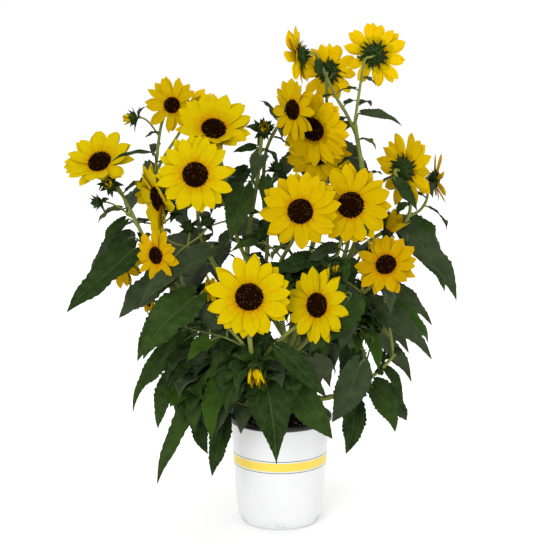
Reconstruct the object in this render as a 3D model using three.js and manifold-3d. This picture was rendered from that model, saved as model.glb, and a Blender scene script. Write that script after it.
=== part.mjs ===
// A branching sunflower in a one gallon nursery pot, in full flower.
// Millimetres, +Z up, the plant's front towards -Y, origin at the middle of the pot's flat underside.
// The pot, the potting mix, every stem, every large flower head and every mass of foliage is one solid.
import * as THREE from 'three';
import { mergeVertices } from 'three/addons/utils/BufferGeometryUtils.js';
import Module from 'manifold-3d';

const wasm = await Module();
wasm.setup();

// ---------------------------------------------------------------- driving sizes

const GAP = 0.3;

const POT = {
  height: 174.5,
  rimRadius: 82.5,
  lipDepth: 7,
  shoulderRadius: 78.5,
  ankleRadius: 67.5,
  ankleHeight: 20,
  footRadius: 59,
  wall: 1.8,
  sides: 24,
};
const MIX = { top: 157, crownRadius: 24, edgeDrop: 4 };
const DRAIN = { count: 6, width: 12, height: 9, middle: 11 };

const HEAD = { sides: 12, back: 10, bossHeight: 5, domeHeight: 6, discHeight: 5 };
const HEAD_SHARE = { boss: 0.3, disc: 0.34 };
const LIMB = { sides: 5, stations: 5 };
const BLADE = { thick: 3.4, tipThick: 1.4, arch: 0.07, petiole: 2.2 };
// A leaf's outline: share of its length, share of its full width. It closes in a point at 1.
const BLADE_OUTLINE = [[0, 0.22], [0.3, 1], [0.66, 0.72]];
const LUMP = { depth: 0.16, turns: 3 };

// ---------------------------------------------------------------- the plant, by name

// Flower heads: the middle of the disc, the petals' reach, the compass bearing of the face
// (0 faces the front, positive turns to +X) and how far it looks up.
const HEADS = {
  side_left: { at: [30, -20, 745], reach: 48, bearing: -125, up: 0 },
  top_middle: { at: [75, 30, 715], reach: 46, bearing: 170, up: 0 },
  top_right: { at: [145, 5, 745], reach: 50, bearing: 165, up: 5 },
  tall_small: { at: [20, -70, 670], reach: 48, bearing: -50, up: 0 },
  tall_large: { at: [50, -30, 635], reach: 60, bearing: -30, up: -15 },
  tall_lower: { at: [60, 20, 585], reach: 51, bearing: 0, up: -30 },
  upper_front: { at: [30, -150, 530], reach: 59, bearing: 0, up: 0 },
  upper_front_right: { at: [105, -125, 535], reach: 62, bearing: 5, up: 0 },
  right_turned: { at: [194, 15, 565], reach: 57, bearing: 132, up: 0 },
  right_edge: { at: [245, 45, 545], reach: 40, bearing: 95, up: 0 },
  right_middle: { at: [160, -110, 440], reach: 50, bearing: -20, up: 35 },
  low_right: { at: [55, -205, 400], reach: 57, bearing: -38, up: 10 },
  low_left: { at: [-45, -215, 415], reach: 64, bearing: 0, up: 0 },
  middle_left: { at: [-125, -150, 585], reach: 59, bearing: 0, up: 0 },
  upper_left: { at: [-100, -70, 640], reach: 59, bearing: 10, up: 45 },
  left_top: { at: [-165, -20, 670], reach: 41, bearing: 0, up: 5 },
  left_crown: { at: [-275, -40, 585], reach: 57, bearing: -20, up: 45 },
  left_side: { at: [-185, -75, 535], reach: 59, bearing: -65, up: -10 },
  left_low: { at: [-185, -135, 460], reach: 41, bearing: -40, up: 0 },
  rear_left: { at: [-135, 150, 525], reach: 55, bearing: 195, up: 10 },
  rear_top: { at: [60, 110, 610], reach: 48, bearing: 175, up: 15 },
  rear_right: { at: [115, 175, 470], reach: 54, bearing: 160, up: 0 },
  rear_side: { at: [175, 150, 385], reach: 44, bearing: 140, up: 25 },
  rear_low: { at: [-55, 190, 315], reach: 55, bearing: 190, up: 10 },
};

// Stems, in the order that they grow: each starts inside the one that carries it. The last point
// of one that bears a flower head is worked out from that head.
const LIMBS = {
  main_stem: { through: [[0, 0, 157.3], [0, 0, 172], [3, 0, 215], [10, 4, 305]], radii: [9, 7] },
  bough_tall_right: {
    through: [[12, 4, 298], [60, -4, 360], [110, -10, 435], [130, -3, 525], [115, 0, 638]],
    radii: [5, 3.2],
  },
  bough_top_right: {
    through: [[114.8, 0, 639.2], [120, 2, 690], [129, 0, 725]],
    radii: [3, 2.2],
    bears: 'top_right',
  },
  bough_top_left: {
    through: [[117, 0, 622], [103, 0, 652], [86, 0, 680], [60, -8, 735]],
    radii: [2.6, 2],
    bears: 'side_left',
  },
  bough_centre: {
    through: [[9, 4, 298], [-25, -8, 360], [-50, -18, 430], [-35, -20, 555], [-28, -12, 622]],
    radii: [4.6, 2.6],
  },
  bough_centre_rear: {
    through: [[-30, -8, 372], [-20, 10, 440], [-25, 10, 515], [-20, 8, 600], [22, -36, 668]],
    radii: [3.2, 2.2],
    bears: 'tall_small',
  },
  bough_tall_centre: {
    through: [[13, 6, 292], [40, 30, 400], [65, 60, 490], [75, 65, 560], [74, 40, 625]],
    radii: [4.2, 2.4],
    bears: 'tall_large',
  },
  bough_upper_front: {
    through: [[10, 2, 284], [0, -35, 360], [0, -65, 430], [20, -105, 480]],
    radii: [4, 2.4],
    bears: 'upper_front',
  },
  bough_upper_front_right: {
    through: [[12, 1, 274], [45, -45, 375], [85, -80, 445]],
    radii: [4, 2.4],
    bears: 'upper_front_right',
  },
  bough_front: {
    through: [[3, 0, 212], [-8, -60, 240], [-25, -130, 272], [-38, -178, 300], [-45, -196, 350]],
    radii: [5, 3],
    bears: 'low_left',
  },
  bough_low_right: { through: [[-36, -174, 298], [5, -175, 345]], radii: [3.2, 2.2], bears: 'low_right' },
  bough_left: {
    through: [[5, 0, 250], [-60, -35, 315], [-145, -60, 375], [-178, -60, 408], [-215, -40, 480], [-250, -25, 545]],
    radii: [5, 2.4],
    bears: 'left_crown',
  },
  bough_left_inner: {
    through: [[-160, -60, 390], [-193, -22, 460], [-195, -10, 525], [-190, -6, 585], [-180, 4, 645]],
    radii: [3.4, 2],
    bears: 'left_top',
  },
  bough_upper_left: {
    through: [[-42, -15, 405], [-65, -20, 460], [-80, -40, 530], [-90, -50, 590]],
    radii: [3.2, 2.2],
    bears: 'upper_left',
  },
  bough_right: {
    through: [[108, -10, 430], [150, 0, 462], [195, 15, 482], [203, 14, 508], [186, 4, 545]],
    radii: [3.4, 2.4],
    bears: 'right_turned',
  },
  bough_right_edge: { through: [[198, 14, 490], [222, 34, 499], [232, 42, 520]], radii: [2.4, 1.8], bears: 'right_edge' },
  bough_right_middle: {
    through: [[10, 2, 262], [60, -25, 320], [115, -55, 372], [150, -72, 408]],
    radii: [4, 2.4],
    bears: 'right_middle',
  },
  bough_lower_right: {
    through: [[2, 0, 190], [50, -30, 205], [105, -60, 228], [150, -60, 258], [182, -55, 290]],
    radii: [5, 2.2],
  },
  bough_rear_left: {
    through: [[4, 2, 236], [-40, 50, 300], [-90, 90, 370], [-130, 112, 450]],
    radii: [5, 2.6],
    bears: 'rear_left',
  },
  bough_rear_right: {
    through: [[8, 4, 250], [45, 50, 320], [90, 90, 380], [110, 118, 430]],
    radii: [5, 2.6],
    bears: 'rear_right',
  },
};

// Masses of foliage: a knot of shoots on a stem, the leaves that hang from it, each from its base to
// its tip with its full width, and the heads that it carries. Upper sides look towards `faces`.
const FOLIAGE = {
  foliage_far_left: {
    knot: [-222, -42, 466], size: 17, faces: [-0.3, -1, 0.8],
    leaves: [
      [[-225, -60, 452], [-325, -110, 370], 56],
      [[-240, -20, 490], [-275, -20, 450], 26],
      [[-235, -20, 462], [-305, 50, 395], 52],
      [[-225, -10, 455], [-240, 80, 385], 50],
    ],
  },
  foliage_upper_left: {
    knot: [-196, -6, 548], size: 15, faces: [-0.4, -1, 0.9], carries: ['left_side'],
    leaves: [
      [[-198, -40, 600], [-250, -110, 603], 14],
      [[-205, -28, 535], [-245, -30, 528], 14],
      [[-190, 10, 545], [-250, 80, 480], 48],
      [[-185, 10, 530], [-140, 95, 450], 48],
    ],
  },
  foliage_left_shoulder: {
    knot: [-150, -80, 412], size: 24, faces: [-0.3, -1, 0.8], carries: ['middle_left', 'left_low'],
    leaves: [
      [[-105, -110, 465], [-215, -170, 395], 40],
      [[-110, -95, 495], [-130, -120, 472], 30],
      [[-130, -140, 395], [-205, -200, 325], 72],
      [[-165, -110, 378], [-215, -160, 305], 46],
      [[-160, -50, 420], [-255, -30, 340], 54],
    ],
  },
  foliage_left_skirt: {
    knot: [-103, -66, 320], size: 30, faces: [-0.5, -1, 0.5],
    leaves: [
      [[-175, -80, 310], [-230, -130, 220], 22],
      [[-155, -60, 270], [-195, -90, 180], 44],
      [[-120, -130, 255], [-190, -170, 115], 36],
      [[-100, -150, 315], [-105, -190, 235], 50],
      [[-90, -165, 280], [-105, -205, 195], 40],
      [[-85, -120, 205], [-105, -150, 120], 40],
      [[-125, -80, 220], [-115, -100, 138], 40],
      [[-150, -30, 300], [-225, 0, 215], 48],
    ],
  },
  foliage_front_skirt: {
    knot: [-28, -148, 282], size: 21, faces: [0, -1, 0.6],
    leaves: [
      [[-20, -200, 275], [-5, -245, 170], 76],
      [[15, -180, 270], [80, -200, 195], 54],
      [[0, -190, 330], [70, -212, 262], 36],
      [[-60, -165, 340], [-80, -172, 296], 44],
      [[-45, -120, 255], [-60, -155, 190], 42],
    ],
  },
  foliage_right_skirt: {
    knot: [108, -62, 246], size: 20, faces: [0.3, -1, 0.6],
    leaves: [
      [[120, -120, 285], [80, -150, 205], 56],
      [[115, -60, 212], [105, -80, 132], 42],
      [[145, -70, 235], [180, -95, 175], 42],
      [[165, -50, 262], [190, -70, 222], 20],
      [[150, -30, 230], [205, 10, 160], 44],
    ],
  },
  foliage_right_middle: {
    knot: [118, -66, 356], size: 25, faces: [0.3, -1, 0.8],
    leaves: [
      [[140, -50, 370], [235, -100, 297], 44],
      [[165, -40, 398], [235, -70, 338], 30],
      [[110, -100, 325], [130, -120, 265], 36],
      [[135, -70, 330], [155, -82, 268], 26],
      [[100, -160, 395], [40, -182, 315], 70],
      [[150, -20, 355], [240, 30, 285], 50],
    ],
  },
  foliage_far_right: {
    knot: [196, 12, 472], size: 17, faces: [0.4, -1, 0.8],
    leaves: [
      [[190, 0, 470], [280, -40, 377], 52],
      [[210, 30, 440], [265, 30, 368], 30],
      [[176, -20, 575], [155, -60, 540], 42],
      [[178, -35, 555], [210, -60, 515], 26],
      [[205, 35, 478], [262, 105, 405], 52],
    ],
  },
  foliage_tall_fork: {
    knot: [116, 0, 642], size: 9, faces: [0.2, -1, 1], carries: ['top_middle'],
    leaves: [
      [[126, -5, 656], [185, -30, 646], 19],
      [[110, 10, 630], [70, 65, 600], 22],
    ],
  },
  foliage_tall_cluster: {
    knot: [66, 64, 596], size: 15, faces: [0, 1, 0.9], carries: ['tall_lower', 'rear_top'],
    leaves: [
      [[82, 78, 590], [145, 115, 525], 48],
      [[50, 82, 590], [-10, 120, 530], 46],
      [[72, 90, 575], [62, 145, 490], 50],
      [[90, 50, 580], [150, 30, 520], 36],
    ],
  },
  foliage_centre_upper: {
    knot: [-42, -28, 560], size: 17, faces: [-0.2, -1, 0.8],
    leaves: [
      [[-55, -60, 548], [-75, -110, 480], 48],
      [[-38, -10, 604], [-72, -22, 598], 16],
      [[-30, -70, 598], [-42, -92, 563], 30],
      [[-22, -50, 562], [-15, -85, 512], 26],
      [[-55, 0, 560], [-120, 60, 490], 50],
    ],
  },
  foliage_centre: {
    knot: [0, -52, 420], size: 32, faces: [0, -1, 0.9],
    leaves: [
      [[85, -85, 462], [42, -112, 446], 26],
      [[50, -90, 442], [-5, -125, 432], 40],
      [[-35, -85, 468], [-72, -120, 466], 18],
      [[-60, -80, 400], [-120, -140, 345], 60],
      [[-45, -100, 375], [-75, -150, 320], 44],
      [[45, -60, 380], [70, -110, 300], 58],
    ],
  },
  foliage_rear_left: {
    knot: [-82, 86, 350], size: 30, faces: [-0.3, 1, 0.7], carries: ['rear_low'],
    leaves: [
      [[-125, 110, 440], [-225, 160, 370], 58],
      [[-120, 120, 390], [-190, 195, 300], 64],
      [[-95, 125, 420], [-105, 215, 345], 58],
      [[-60, 110, 460], [-20, 190, 400], 50],
      [[-125, 90, 330], [-200, 125, 240], 54],
      [[-90, 110, 270], [-120, 165, 165], 54],
      [[-40, 100, 260], [-20, 175, 150], 56],
    ],
  },
  foliage_rear_right: {
    knot: [84, 84, 352], size: 30, faces: [0.3, 1, 0.7], carries: ['rear_side'],
    leaves: [
      [[125, 105, 420], [220, 165, 345], 58],
      [[80, 125, 400], [60, 205, 320], 60],
      [[50, 100, 440], [15, 175, 480], 44],
      [[130, 85, 330], [212, 115, 250], 52],
      [[100, 105, 280], [140, 165, 175], 56],
      [[50, 95, 270], [60, 180, 165], 54],
      [[140, 60, 300], [215, 60, 215], 46],
    ],
  },
};

// ---------------------------------------------------------------- materials

const finish = (color, roughness) => new THREE.MeshStandardMaterial({ color, roughness, metalness: 0 });
const MATERIALS = {
  pot: finish(0xdedfe0, 0.45),
  mix: finish(0x2a1d14, 0.95),
  stem: finish(0x5f7f3a, 0.7),
  petal: finish(0xf3c818, 0.6),
  leaf: finish(0x2f4a2c, 0.75),
};

// ---------------------------------------------------------------- solids

const vector = (point) => new THREE.Vector3(...point);

// A closed geometry as a solid that can be joined and cut.
function solidOf(geometry) {
  const bare = geometry.clone();
  bare.deleteAttribute('normal');
  bare.deleteAttribute('uv');
  const merged = mergeVertices(bare, 1e-4);
  const mesh = new wasm.Mesh({
    numProp: 3,
    vertProperties: Float32Array.from(merged.attributes.position.array),
    triVerts: Uint32Array.from(merged.index.array),
  });
  return new wasm.Manifold(mesh);
}

// A solid back as a geometry.
function geometryOf(solid) {
  const { vertProperties, triVerts } = solid.getMesh();
  const geometry = new THREE.BufferGeometry();
  geometry.setAttribute('position', new THREE.BufferAttribute(Float32Array.from(vertProperties), 3));
  geometry.setIndex(Array.from(triVerts));
  geometry.computeVertexNormals();
  return geometry;
}

// The largest single body of a solid that a cut may have split.
function mainBody(solid) {
  const bodies = solid.decompose();
  return bodies.reduce((best, body) => (body.volume() > best.volume() ? body : best));
}

function boxesMeet(a, b) {
  const one = a.boundingBox();
  const two = b.boundingBox();
  return [0, 1, 2].every((i) => one.min[i] <= two.max[i] && two.min[i] <= one.max[i]);
}

// A solid with every one of the cutters that it meets taken out of it.
function clearOf(solid, cutters) {
  let result = solid;
  for (const cutter of cutters) {
    if (boxesMeet(result, cutter)) result = result.subtract(cutter);
  }
  return mainBody(result);
}

// A closed skin over rings of points, all with the same number of points, turning with the right hand.
// It ends in a flat cap, or in the point `apex`.
function skin(rings, apex = null) {
  const count = rings[0].length;
  const points = rings.flat();
  const faces = [];
  for (let r = 0; r + 1 < rings.length; r += 1) {
    for (let i = 0; i < count; i += 1) {
      const a = r * count + i;
      const b = r * count + ((i + 1) % count);
      faces.push(a, b, b + count, a, b + count, a + count);
    }
  }
  const last = (rings.length - 1) * count;
  for (let i = 1; i + 1 < count; i += 1) {
    faces.push(0, i + 1, i);
    if (!apex) faces.push(last, last + i, last + i + 1);
  }
  if (apex) {
    points.push(apex);
    for (let i = 0; i < count; i += 1) faces.push(last + i, last + ((i + 1) % count), points.length - 1);
  }
  const geometry = new THREE.BufferGeometry();
  const flat = points.flatMap((point) => point.toArray());
  geometry.setAttribute('position', new THREE.Float32BufferAttribute(flat, 3));
  geometry.setIndex(faces);
  geometry.computeVertexNormals();
  return geometry;
}

// A round limb along a curve, tapering evenly, with its frame carried on from ring to ring.
function limbGeometry(points, [first, last], { sides, stations }, grow = 0) {
  const curve = new THREE.CatmullRomCurve3(points, false, 'centripetal');
  let side = new THREE.Vector3(0, 1, 0);
  const rings = [];
  for (let s = 0; s <= stations; s += 1) {
    const share = s / stations;
    const along = curve.getTangentAt(share);
    side = side.clone().addScaledVector(along, -side.dot(along)).normalize();
    const over = new THREE.Vector3().crossVectors(along, side);
    const end = s === 0 ? -grow : s === stations ? grow : 0;
    const middle = curve.getPointAt(share).addScaledVector(along, end);
    const radius = THREE.MathUtils.lerp(first, last, share) + grow;
    rings.push(Array.from({ length: sides }, (_, i) => {
      const angle = (2 * Math.PI * i) / sides;
      return middle.clone()
        .addScaledVector(side, radius * Math.cos(angle))
        .addScaledVector(over, radius * Math.sin(angle));
    }));
  }
  return skin(rings);
}

// ---------------------------------------------------------------- pot and potting mix

// The pot's inside radius at a height, between its ankle and its shoulder.
function insideRadius(height) {
  const share = (height - POT.ankleHeight) / (POT.height - POT.ankleHeight);
  return THREE.MathUtils.lerp(POT.ankleRadius, POT.shoulderRadius, share) - POT.wall;
}

function potGeometry() {
  const lipFoot = POT.height - POT.lipDepth;
  const inner = insideRadius(POT.height);
  const profile = [
    [0, 0], [POT.footRadius, 0], [POT.footRadius + 5, 5], [POT.ankleRadius, POT.ankleHeight],
    [POT.shoulderRadius, lipFoot], [POT.rimRadius, lipFoot + 0.5], [POT.rimRadius, POT.height],
    [inner, POT.height], [insideRadius(POT.ankleHeight), POT.ankleHeight],
    [POT.footRadius - 1, POT.wall], [0, POT.wall],
  ];
  const around = new THREE.LatheGeometry(profile.map(([r, z]) => new THREE.Vector2(r, z)), POT.sides);
  around.rotateX(Math.PI / 2);
  let pot = solidOf(around);
  for (let i = 0; i < DRAIN.count; i += 1) {
    const slot = new THREE.BoxGeometry(20, DRAIN.width, DRAIN.height);
    slot.translate(POT.footRadius + 6, 0, DRAIN.middle);
    slot.rotateZ((2 * Math.PI * (i + 0.5)) / DRAIN.count);
    pot = pot.subtract(solidOf(slot));
  }
  return geometryOf(pot);
}

function mixGeometry() {
  const foot = POT.wall + GAP;
  const edge = MIX.top - MIX.edgeDrop;
  const profile = [
    [0, foot], [POT.footRadius - 5, foot], [insideRadius(POT.ankleHeight) - GAP - 1, POT.ankleHeight],
    [insideRadius(edge) - GAP - 0.2, edge], [MIX.crownRadius, MIX.top], [0, MIX.top],
  ];
  const around = new THREE.LatheGeometry(profile.map(([r, z]) => new THREE.Vector2(r, z)), POT.sides);
  around.rotateX(Math.PI / 2);
  return around;
}

// ---------------------------------------------------------------- flower heads

// Where a head's face points.
function facing({ bearing, up }) {
  const turn = THREE.MathUtils.degToRad(bearing);
  const lift = THREE.MathUtils.degToRad(up);
  return new THREE.Vector3(
    Math.cos(lift) * Math.sin(turn), -Math.cos(lift) * Math.cos(turn), Math.sin(lift),
  );
}

// The point behind a head where its stalk ends, `back` behind the face.
const seatOf = (head, back = HEAD.back) => vector(head.at).addScaledVector(facing(head), -back);

// A shallow dish with a domed disc in front and the green boss of the receptacle behind.
function headGeometry({ reach }, grow = 0) {
  const rim = reach + 5 * grow;
  const profile = [
    [0, -HEAD.back - grow], [HEAD_SHARE.boss * reach, -HEAD.bossHeight - grow], [rim, 0],
    [HEAD_SHARE.disc * reach, HEAD.discHeight + grow], [0, HEAD.domeHeight + grow],
  ];
  return new THREE.LatheGeometry(profile.map(([r, z]) => new THREE.Vector2(r, z)), HEAD.sides);
}

function placeHead(mesh, head) {
  mesh.position.copy(vector(head.at));
  mesh.quaternion.setFromUnitVectors(new THREE.Vector3(0, 1, 0), facing(head));
  mesh.updateMatrixWorld();
  return mesh;
}

// ---------------------------------------------------------------- stems

function limbPoints({ through, bears }) {
  const points = through.map(vector);
  if (bears) points.push(seatOf(HEADS[bears], HEAD.back + 12), seatOf(HEADS[bears], HEAD.back - 3));
  return points;
}

// ---------------------------------------------------------------- foliage

// One thick pointed leaf, hanging in a low arch from its base to its tip.
function bladeGeometry([base, tip, wide], faces, grow = 0) {
  const start = vector(base);
  const end = vector(tip);
  const along = end.clone().sub(start);
  const side = new THREE.Vector3().crossVectors(along, vector(faces)).normalize();
  const over = new THREE.Vector3().crossVectors(side, along).normalize();
  const rings = BLADE_OUTLINE.map(([share, width]) => {
    const lift = 4 * share * (1 - share) * BLADE.arch * along.length();
    const middle = start.clone().addScaledVector(along, share).addScaledVector(over, lift);
    const half = (width * wide) / 2 + 2 * grow;
    const thick = THREE.MathUtils.lerp(BLADE.thick, BLADE.tipThick, share) + 2 * grow;
    return [
      middle.clone().addScaledVector(side, half), middle.clone().addScaledVector(over, -thick),
      middle.clone().addScaledVector(side, -half), middle.clone().addScaledVector(over, thick),
    ];
  });
  return skin(rings, end.clone().addScaledVector(along, grow / along.length()));
}

// The lumpy knot of shoots that a mass grows from.
function knotGeometry(knot, size, grow = 0) {
  const ball = new THREE.IcosahedronGeometry(1, 0);
  const position = ball.attributes.position;
  for (let i = 0; i < position.count; i += 1) {
    const spot = new THREE.Vector3().fromBufferAttribute(position, i);
    const wave = Math.sin(LUMP.turns * spot.x + 1) * Math.cos(LUMP.turns * spot.y) + spot.z * 0.5;
    spot.multiplyScalar(size * (1 + LUMP.depth * wave) + grow).add(vector(knot));
    position.setXYZ(i, spot.x, spot.y, spot.z);
  }
  return ball;
}

// A mass of foliage: its knot, its leaves on their stalks, and the stalks of the heads that it carries.
function foliageSolid({ knot, size, faces, leaves, carries = [] }, grow = 0) {
  const stalkForm = { sides: 3, stations: 1 };
  const stalk = (end) => {
    const radii = [BLADE.petiole, BLADE.petiole];
    return solidOf(limbGeometry([vector(knot), end], radii, stalkForm, 2 * grow));
  };
  let mass = solidOf(knotGeometry(knot, size, grow));
  for (const leaf of leaves) {
    const [base, tip] = leaf.slice(0, 2).map(vector);
    const inside = base.clone().lerp(tip, 0.12);
    mass = mass.add(stalk(inside)).add(solidOf(bladeGeometry(leaf, faces, grow)));
  }
  for (const name of carries) mass = mass.add(stalk(seatOf(HEADS[name], HEAD.back - 3)));
  return mass;
}

// ---------------------------------------------------------------- the plant put together

const plant = new THREE.Group();
const cutters = [];

function addPiece(name, geometry, material) {
  const mesh = new THREE.Mesh(geometry, material);
  mesh.name = name;
  plant.add(mesh);
  return mesh;
}

addPiece('pot', potGeometry(), MATERIALS.pot);
addPiece('potting_mix', mixGeometry(), MATERIALS.mix);

for (const [name, head] of Object.entries(HEADS)) {
  const mesh = placeHead(addPiece(`head_${name}`, headGeometry(head), MATERIALS.petal), head);
  cutters.push(solidOf(headGeometry(head, GAP).applyMatrix4(mesh.matrixWorld)));
}

for (const [name, limb] of Object.entries(LIMBS)) {
  const points = limbPoints(limb);
  const solid = clearOf(solidOf(limbGeometry(points, limb.radii, LIMB)), cutters);
  addPiece(name, geometryOf(solid), MATERIALS.stem);
  cutters.push(solidOf(limbGeometry(points, limb.radii, LIMB, GAP)));
}

for (const [name, mass] of Object.entries(FOLIAGE)) {
  addPiece(name, geometryOf(clearOf(foliageSolid(mass), cutters)), MATERIALS.leaf);
  cutters.push(foliageSolid(mass, GAP));
}

export default plant;
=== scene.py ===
"""A branching sunflower in a nursery pot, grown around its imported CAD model.

Everything is in metres, +Z up, with the plant's front towards -Y and the origin at the middle of the
pot's flat underside. The flower heads stand where the CAD heads stand, the stems repeat the CAD stems'
routes, and the outline's leaves end at the tips of the CAD's masses of foliage.
"""
import logging
import math
from dataclasses import dataclass, field, replace
from enum import Enum
from typing import ClassVar, Iterable, Sequence

import bpy
import numpy as np
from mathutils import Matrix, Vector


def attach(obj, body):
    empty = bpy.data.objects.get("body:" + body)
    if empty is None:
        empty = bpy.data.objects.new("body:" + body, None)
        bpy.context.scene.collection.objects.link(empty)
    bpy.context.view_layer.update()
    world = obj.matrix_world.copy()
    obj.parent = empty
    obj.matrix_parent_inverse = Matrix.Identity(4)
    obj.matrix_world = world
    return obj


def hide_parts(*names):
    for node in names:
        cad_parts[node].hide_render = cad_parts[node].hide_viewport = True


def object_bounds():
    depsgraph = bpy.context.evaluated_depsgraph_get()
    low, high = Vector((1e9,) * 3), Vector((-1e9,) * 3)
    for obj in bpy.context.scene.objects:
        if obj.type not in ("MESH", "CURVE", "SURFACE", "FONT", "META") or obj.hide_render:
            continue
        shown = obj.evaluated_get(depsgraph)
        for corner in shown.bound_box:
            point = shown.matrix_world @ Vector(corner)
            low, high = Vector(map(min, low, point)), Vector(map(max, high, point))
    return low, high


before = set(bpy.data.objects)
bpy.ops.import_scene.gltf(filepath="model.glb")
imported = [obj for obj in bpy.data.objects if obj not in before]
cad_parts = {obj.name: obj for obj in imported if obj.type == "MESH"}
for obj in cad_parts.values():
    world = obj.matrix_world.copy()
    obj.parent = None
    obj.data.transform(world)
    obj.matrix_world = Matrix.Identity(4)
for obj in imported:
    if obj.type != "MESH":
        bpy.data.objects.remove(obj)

CAD_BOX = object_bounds()
LOG = logging.getLogger("sunflower")
MM = 0.001
BODY = "root"
UP = np.array((0.0, 0.0, 1.0))
GOLDEN_ANGLE = math.pi * (3 - math.sqrt(5))
LEAF_TURN = 2.4    # radians round a stem from one leaf to the next
Point = Sequence[float]
Patch = tuple[np.ndarray, np.ndarray]    # points, n by 3, and faces as rows of point numbers


# ------------------------------------------------------------------ finishes

Colour = tuple[float, float, float]


@dataclass(frozen=True)
class Finish:
    """A surface: two close colours clouded together, with fine relief in its gloss and its bump.

    `gloss_swing` is how far the roughness strays each way.
    """

    name: str
    base: Colour
    cloud: Colour
    roughness: float = 0.6
    cloud_size: float = 0.02
    grain_size: float = 0.002
    grain_depth: float = 0.15
    sheen: float = 0.0
    specular: float = 0.5
    gloss_swing: float = 0.07

    def material(self) -> bpy.types.Material:
        """Make the node material.

        Returns:
            The material, made once for each name.
        """
        known = bpy.data.materials.get(self.name)
        if known:
            return known
        made = bpy.data.materials.new(self.name)
        made.use_nodes = True
        nodes, links = made.node_tree.nodes, made.node_tree.links
        shader = nodes["Principled BSDF"]
        place = nodes.new("ShaderNodeTexCoord")
        cloud = self._noise(made.node_tree, place, 1.0 / self.cloud_size, 4.0)
        grain = self._noise(made.node_tree, place, 1.0 / self.grain_size, 2.0)
        ramp = nodes.new("ShaderNodeValToRGB")
        ramp.color_ramp.elements[0].position = 0.3
        ramp.color_ramp.elements[1].position = 0.7
        ramp.color_ramp.elements[0].color = (*self.base, 1.0)
        ramp.color_ramp.elements[1].color = (*self.cloud, 1.0)
        links.new(cloud.outputs["Fac"], ramp.inputs["Fac"])
        links.new(ramp.outputs["Color"], shader.inputs["Base Color"])
        gloss = nodes.new("ShaderNodeMapRange")
        gloss.inputs["To Min"].default_value = self.roughness - self.gloss_swing
        gloss.inputs["To Max"].default_value = min(self.roughness + self.gloss_swing, 1.0)
        links.new(grain.outputs["Fac"], gloss.inputs["Value"])
        links.new(gloss.outputs["Result"], shader.inputs["Roughness"])
        bump = nodes.new("ShaderNodeBump")
        bump.inputs["Strength"].default_value = self.grain_depth
        bump.inputs["Distance"].default_value = self.grain_size * 0.5
        links.new(grain.outputs["Fac"], bump.inputs["Height"])
        links.new(bump.outputs["Normal"], shader.inputs["Normal"])
        shader.inputs["Sheen Weight"].default_value = self.sheen
        shader.inputs["Sheen Roughness"].default_value = 0.4
        shader.inputs["Specular IOR Level"].default_value = self.specular
        return made

    @staticmethod
    def _noise(tree: bpy.types.NodeTree, place: bpy.types.Node, scale: float,
               detail: float) -> bpy.types.Node:
        """Add one noise pattern laid in the object's own space.

        Args:
            tree: The material's nodes and links.
            place: The texture coordinate node.
            scale: Waves to the metre.
            detail: How many finer layers it has.

        Returns:
            The noise node.
        """
        noise = tree.nodes.new("ShaderNodeTexNoise")
        noise.inputs["Scale"].default_value = scale
        noise.inputs["Detail"].default_value = detail
        tree.links.new(place.outputs["Object"], noise.inputs["Vector"])
        return noise


@dataclass(frozen=True)
class LeafFinish(Finish):
    """The side of a leaf: finely grained, with little shine."""

    roughness: float = 0.55
    cloud_size: float = 0.012
    grain_size: float = 0.0016
    grain_depth: float = 0.5
    specular: float = 0.04


@dataclass(frozen=True)
class PetalFinish(Finish):
    """A stretch of a petal: smooth, with hardly any shine."""

    cloud_size: float = 0.012
    grain_size: float = 0.0012
    grain_depth: float = 0.25
    specular: float = 0.01


@dataclass(frozen=True)
class StemFinish(Finish):
    """The skin of a stem: downy, so with a little sheen."""

    cloud_size: float = 0.03
    grain_size: float = 0.0012
    grain_depth: float = 0.4
    sheen: float = 0.05
    specular: float = 0.14


@dataclass(frozen=True)
class FineFinish(Finish):
    """The rough surface of something small, such as a floret, a bract or a crumb of mix."""

    roughness: float = 0.9
    cloud_size: float = 0.004
    grain_size: float = 0.001
    grain_depth: float = 0.3
    specular: float = 0.1


class LeafTone(Enum):
    """The greens of the leaves' upper sides, each dealt out to whole leaves."""

    DEEP = LeafFinish("leaf_deep", (0.008, 0.019, 0.0028), (0.021, 0.041, 0.009))
    GREEN = LeafFinish("leaf_green", (0.013, 0.031, 0.004), (0.029, 0.054, 0.01))
    # Grey-green: partly the leaves' own paler tone, partly painted sheen, the sky's grey reflection laid
    # into the colour.
    GREY = LeafFinish("leaf_grey_painted_sheen", (0.03, 0.045, 0.018), (0.052, 0.07, 0.034), 0.6, specular=0.12)
    # A lighter, yellower green: painted light shining through the leaf.
    BRIGHT = LeafFinish("leaf_bright_painted_backlight", (0.017, 0.043, 0.0025), (0.03, 0.066, 0.006))
    SLATE = LeafFinish("leaf_slate", (0.019, 0.031, 0.0105), (0.036, 0.05, 0.021), 0.58, specular=0.06)
    OLIVE = LeafFinish("leaf_olive", (0.038, 0.064, 0.006), (0.06, 0.088, 0.013), 0.58, specular=0.05)


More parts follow.
